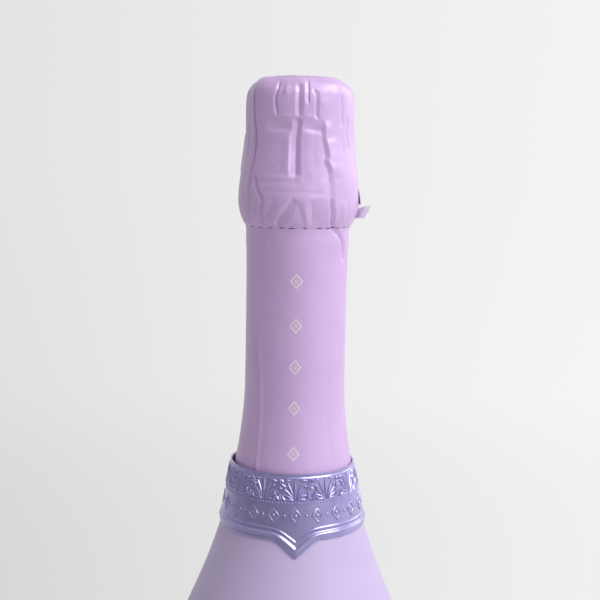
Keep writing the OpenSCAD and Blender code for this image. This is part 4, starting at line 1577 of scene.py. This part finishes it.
def galvanised_wire():
    # Mild steel wire drawn through a die and galvanised: bright, slightly streaked zinc
    material, shader, place = new_material("galvanised_wire", Metallic=1.0, Roughness=0.3)
    streak = node(material, "ShaderNodeTexNoise", {"Scale": spots(0.8), "Detail": 3}, {"Vector": place})
    node(
        material, "ShaderNodeValToRGB", {}, {"Fac": streak["Fac"]},
        [(0.3, "#A9AAAE"), (0.7, "#C4C5C8")], into=shader["Base Color"])
    node(
        material, "ShaderNodeBump", {"Distance": 0.01 * MM}, {"Height": streak["Fac"]},
        into=shader["Normal"])
    return material


zinc = galvanised_wire()
paint(cage, zinc)
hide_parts("cage_frame")
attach(cage, "cage")
tell(cage)

belt = ring_wire("belt_ring_wire", BELT_R, BELT_D, BELT_Z, 160)
smooth(belt, 50)
paint(belt, zinc)
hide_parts("belt_wire")
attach(belt, "cage")
tell(belt)

# %% Twisted loop at the back
STEM_LEN, STEM_OFF, BOW_R, LOOP_LEN, LOOP_LEAN = 4.5, 0.42, 4.0, 16, 4.6
STEM_PITCH = 3.0
BOW_STEPS = 28
EYE_R, EYE_WIRE_D = 0.85, 0.6
bow_z = LOOP_LEN - BOW_R - BELT_D / 2
side_angle = math.asin(BOW_R / (bow_z - STEM_LEN))
stem_steps = 20


def stem(phase):
    """One strand of the stem, upwards from the belt."""
    heights = [STEM_LEN * i / stem_steps for i in range(stem_steps + 1)]
    angles = [math.tau * (h - STEM_LEN) / STEM_PITCH + phase for h in heights]
    return [(STEM_OFF * math.cos(a), STEM_OFF * math.sin(a), h) for a, h in zip(angles, heights)]


bow = [
    (BOW_R * math.cos(a), 0, bow_z + BOW_R * math.sin(a))
    for a in [-side_angle + (math.pi + 2 * side_angle) * i / BOW_STEPS for i in range(BOW_STEPS + 1)]
]
loop = wire("twisted_loop", stem(0) + bow + list(reversed(stem(math.pi))), BELT_D * 0.9)
eyes = []
for side_x in (-STEM_OFF, STEM_OFF):
    start_afresh()
    bpy.ops.mesh.primitive_torus_add(
        major_segments=24, minor_segments=10, major_radius=EYE_R * MM, minor_radius=EYE_WIRE_D * MM / 2,
        location=(side_x * MM, 0, 0), rotation=(0, math.pi / 2, 0))
    eyes.append(settle(bpy.context.object, "eye"))
loop = join([loop] + eyes, "twisted_loop")
points = points_of(loop)
lean_angle = math.radians(LOOP_LEAN)
y = points[:, 1] * math.cos(lean_angle) - points[:, 2] * math.sin(lean_angle)
z = points[:, 1] * math.sin(lean_angle) + points[:, 2] * math.cos(lean_angle)
move_points(loop, np.stack([points[:, 0], y + BELT_R * MM, z + BELT_Z * MM], axis=1))
smooth(loop, 50)
paint(loop, zinc)
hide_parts("twist_loop")
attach(loop, "loop")
tell(loop)


# %% [markdown]
# ## The floor and the light
#
# A pale floor runs out to the same pale grey as the world, so no edge shows. Near the bottle the
# camera sees it partly lit by the lamps and partly glowing like the backdrop, and further out it
# only glows. One large soft lamp stands high at the right, a little in front, and a weak one behind
# it brings out the right edge of the foils. The world fills the rest, brighter from above, so that
# faces turned down are darker.

# %% How bright the backdrop is
BACKDROP_LEVEL = 0.6
BACKDROP_LEAN = (0.25, 0.24, 0)


def backdrop_level(tree_owner, place):
    """Brightness of the backdrop in the direction of a place: the lit side is behind and at the right."""
    towards = node(tree_owner, "ShaderNodeVectorMath", {"operation": "NORMALIZE"}, {0: place})
    lean = node(
        tree_owner, "ShaderNodeVectorMath", {"operation": "DOT_PRODUCT", 1: BACKDROP_LEAN},
        {0: towards["Vector"]})
    return node(
        tree_owner, "ShaderNodeMath", {"operation": "ADD", 1: BACKDROP_LEVEL}, {0: lean["Value"]})["Value"]


def seen_directly(tree_owner):
    """1 for what the camera sees, also in a mirror or through glass, and 0 for light on the object."""
    rays = node(tree_owner, "ShaderNodeLightPath")
    seen = node(
        tree_owner, "ShaderNodeMath", {"operation": "MAXIMUM"},
        {0: rays["Is Camera Ray"], 1: rays["Is Glossy Ray"]})
    return node(
        tree_owner, "ShaderNodeMath", {"operation": "MAXIMUM"},
        {0: seen["Value"], 1: rays["Is Transmission Ray"]})["Value"]


# %% Floor
FLOOR_COLOUR = "#E2E2E2"
FLOOR_SIZE = 24.0
FADE_FROM, FADE_TO = 0.2, 1.2
FLOOR_GLOW = 0.6


def studio_floor():
    material, shader, place = new_material("studio_floor", Roughness=0.9)
    shader["Base Color"].default_value = linear(FLOOR_COLOUR)
    away = node(material, "ShaderNodeVectorMath", {"operation": "LENGTH"}, {0: place})
    share = node(
        material, "ShaderNodeMapRange",
        {
            "From Min": FADE_FROM, "From Max": FADE_TO, "To Min": FLOOR_GLOW,
            "interpolation_type": "SMOOTHSTEP",
        },
        {"Value": away["Value"]})
    glowing = node(
        material, "ShaderNodeMath", {"operation": "MULTIPLY"},
        {0: seen_directly(material), 1: share["Result"]})
    glow = node(
        material, "ShaderNodeEmission", {"Color": linear("#FFFFFF")},
        {"Strength": backdrop_level(material, place)})
    base = material.node_tree.nodes["Principled BSDF"].outputs["BSDF"]
    node(
        material, "ShaderNodeMixShader", {}, {0: glowing["Value"], 1: base, 2: glow["Emission"]},
        into=material.node_tree.nodes["Material Output"].inputs["Surface"])
    return material


start_afresh()
bpy.ops.mesh.primitive_circle_add(vertices=96, radius=FLOOR_SIZE / 2, fill_type="NGON")
floor = settle(bpy.context.object, "floor")
paint(floor, studio_floor())
floor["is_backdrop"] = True

# %% World
WORLD_LIGHT, SKY_SHARE = 0.34, 0.65
world = bpy.data.worlds.new("studio")
bpy.context.scene.world = world
world.use_nodes = True
direction = node(world, "ShaderNodeTexCoord")["Generated"]
upwards_share = node(world, "ShaderNodeSeparateXYZ", {}, {"Vector": direction})["Z"]
level = node(
    world, "ShaderNodeMapRange",
    {
        "From Min": -1, "From Max": 1,
        "To Min": WORLD_LIGHT * (1 - SKY_SHARE), "To Max": WORLD_LIGHT * (1 + SKY_SHARE),
    },
    {"Value": upwards_share})
lit = node(world, "ShaderNodeBackground", {"Color": linear("#FFFFFF")}, {"Strength": level["Result"]})
shown = node(
    world, "ShaderNodeBackground", {"Color": linear("#FFFFFF")},
    {"Strength": backdrop_level(world, direction)})
node(
    world, "ShaderNodeMixShader", {},
    {0: seen_directly(world), 1: lit["Background"], 2: shown["Background"]},
    into=world.node_tree.nodes["World Output"].inputs["Surface"])


# %% Lamps
# The lamps are turned to this share of the bottle's height
TARGET_SHARE = 0.8


def soft_lamp(name, azimuth, elevation, distance, size, power):
    """A square lamp at an azimuth and elevation in degrees and a distance in metres."""
    target = Vector((0, 0, LIP_Z * MM * TARGET_SHARE))
    a, e = math.radians(azimuth), math.radians(elevation)
    towards = Vector((math.sin(a) * math.cos(e), -math.cos(a) * math.cos(e), math.sin(e)))
    start_afresh()
    bpy.ops.object.light_add(type="AREA", location=target + towards * distance)
    lamp = bpy.context.object
    lamp.name = name
    lamp.data.size = size
    lamp.data.energy = power
    lamp.rotation_euler = towards.to_track_quat("Z", "Y").to_euler()


soft_lamp("key", azimuth=58, elevation=42, distance=1.3, size=0.9, power=16)
soft_lamp("rim_right", azimuth=128, elevation=18, distance=1.2, size=0.5, power=1.6)

view_settings = bpy.context.scene.view_settings
view_settings.view_transform = "Standard"

# %% [markdown]
# ## Sizes
#
# The size of the dressed bottle, without the floor, is printed. The dressed bottle has to
# keep to the imported model's box.

# %% Print the size of the dressed bottle
low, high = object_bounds()
print("visual", [round(v / MM, 1) for v in high - low], "mm")
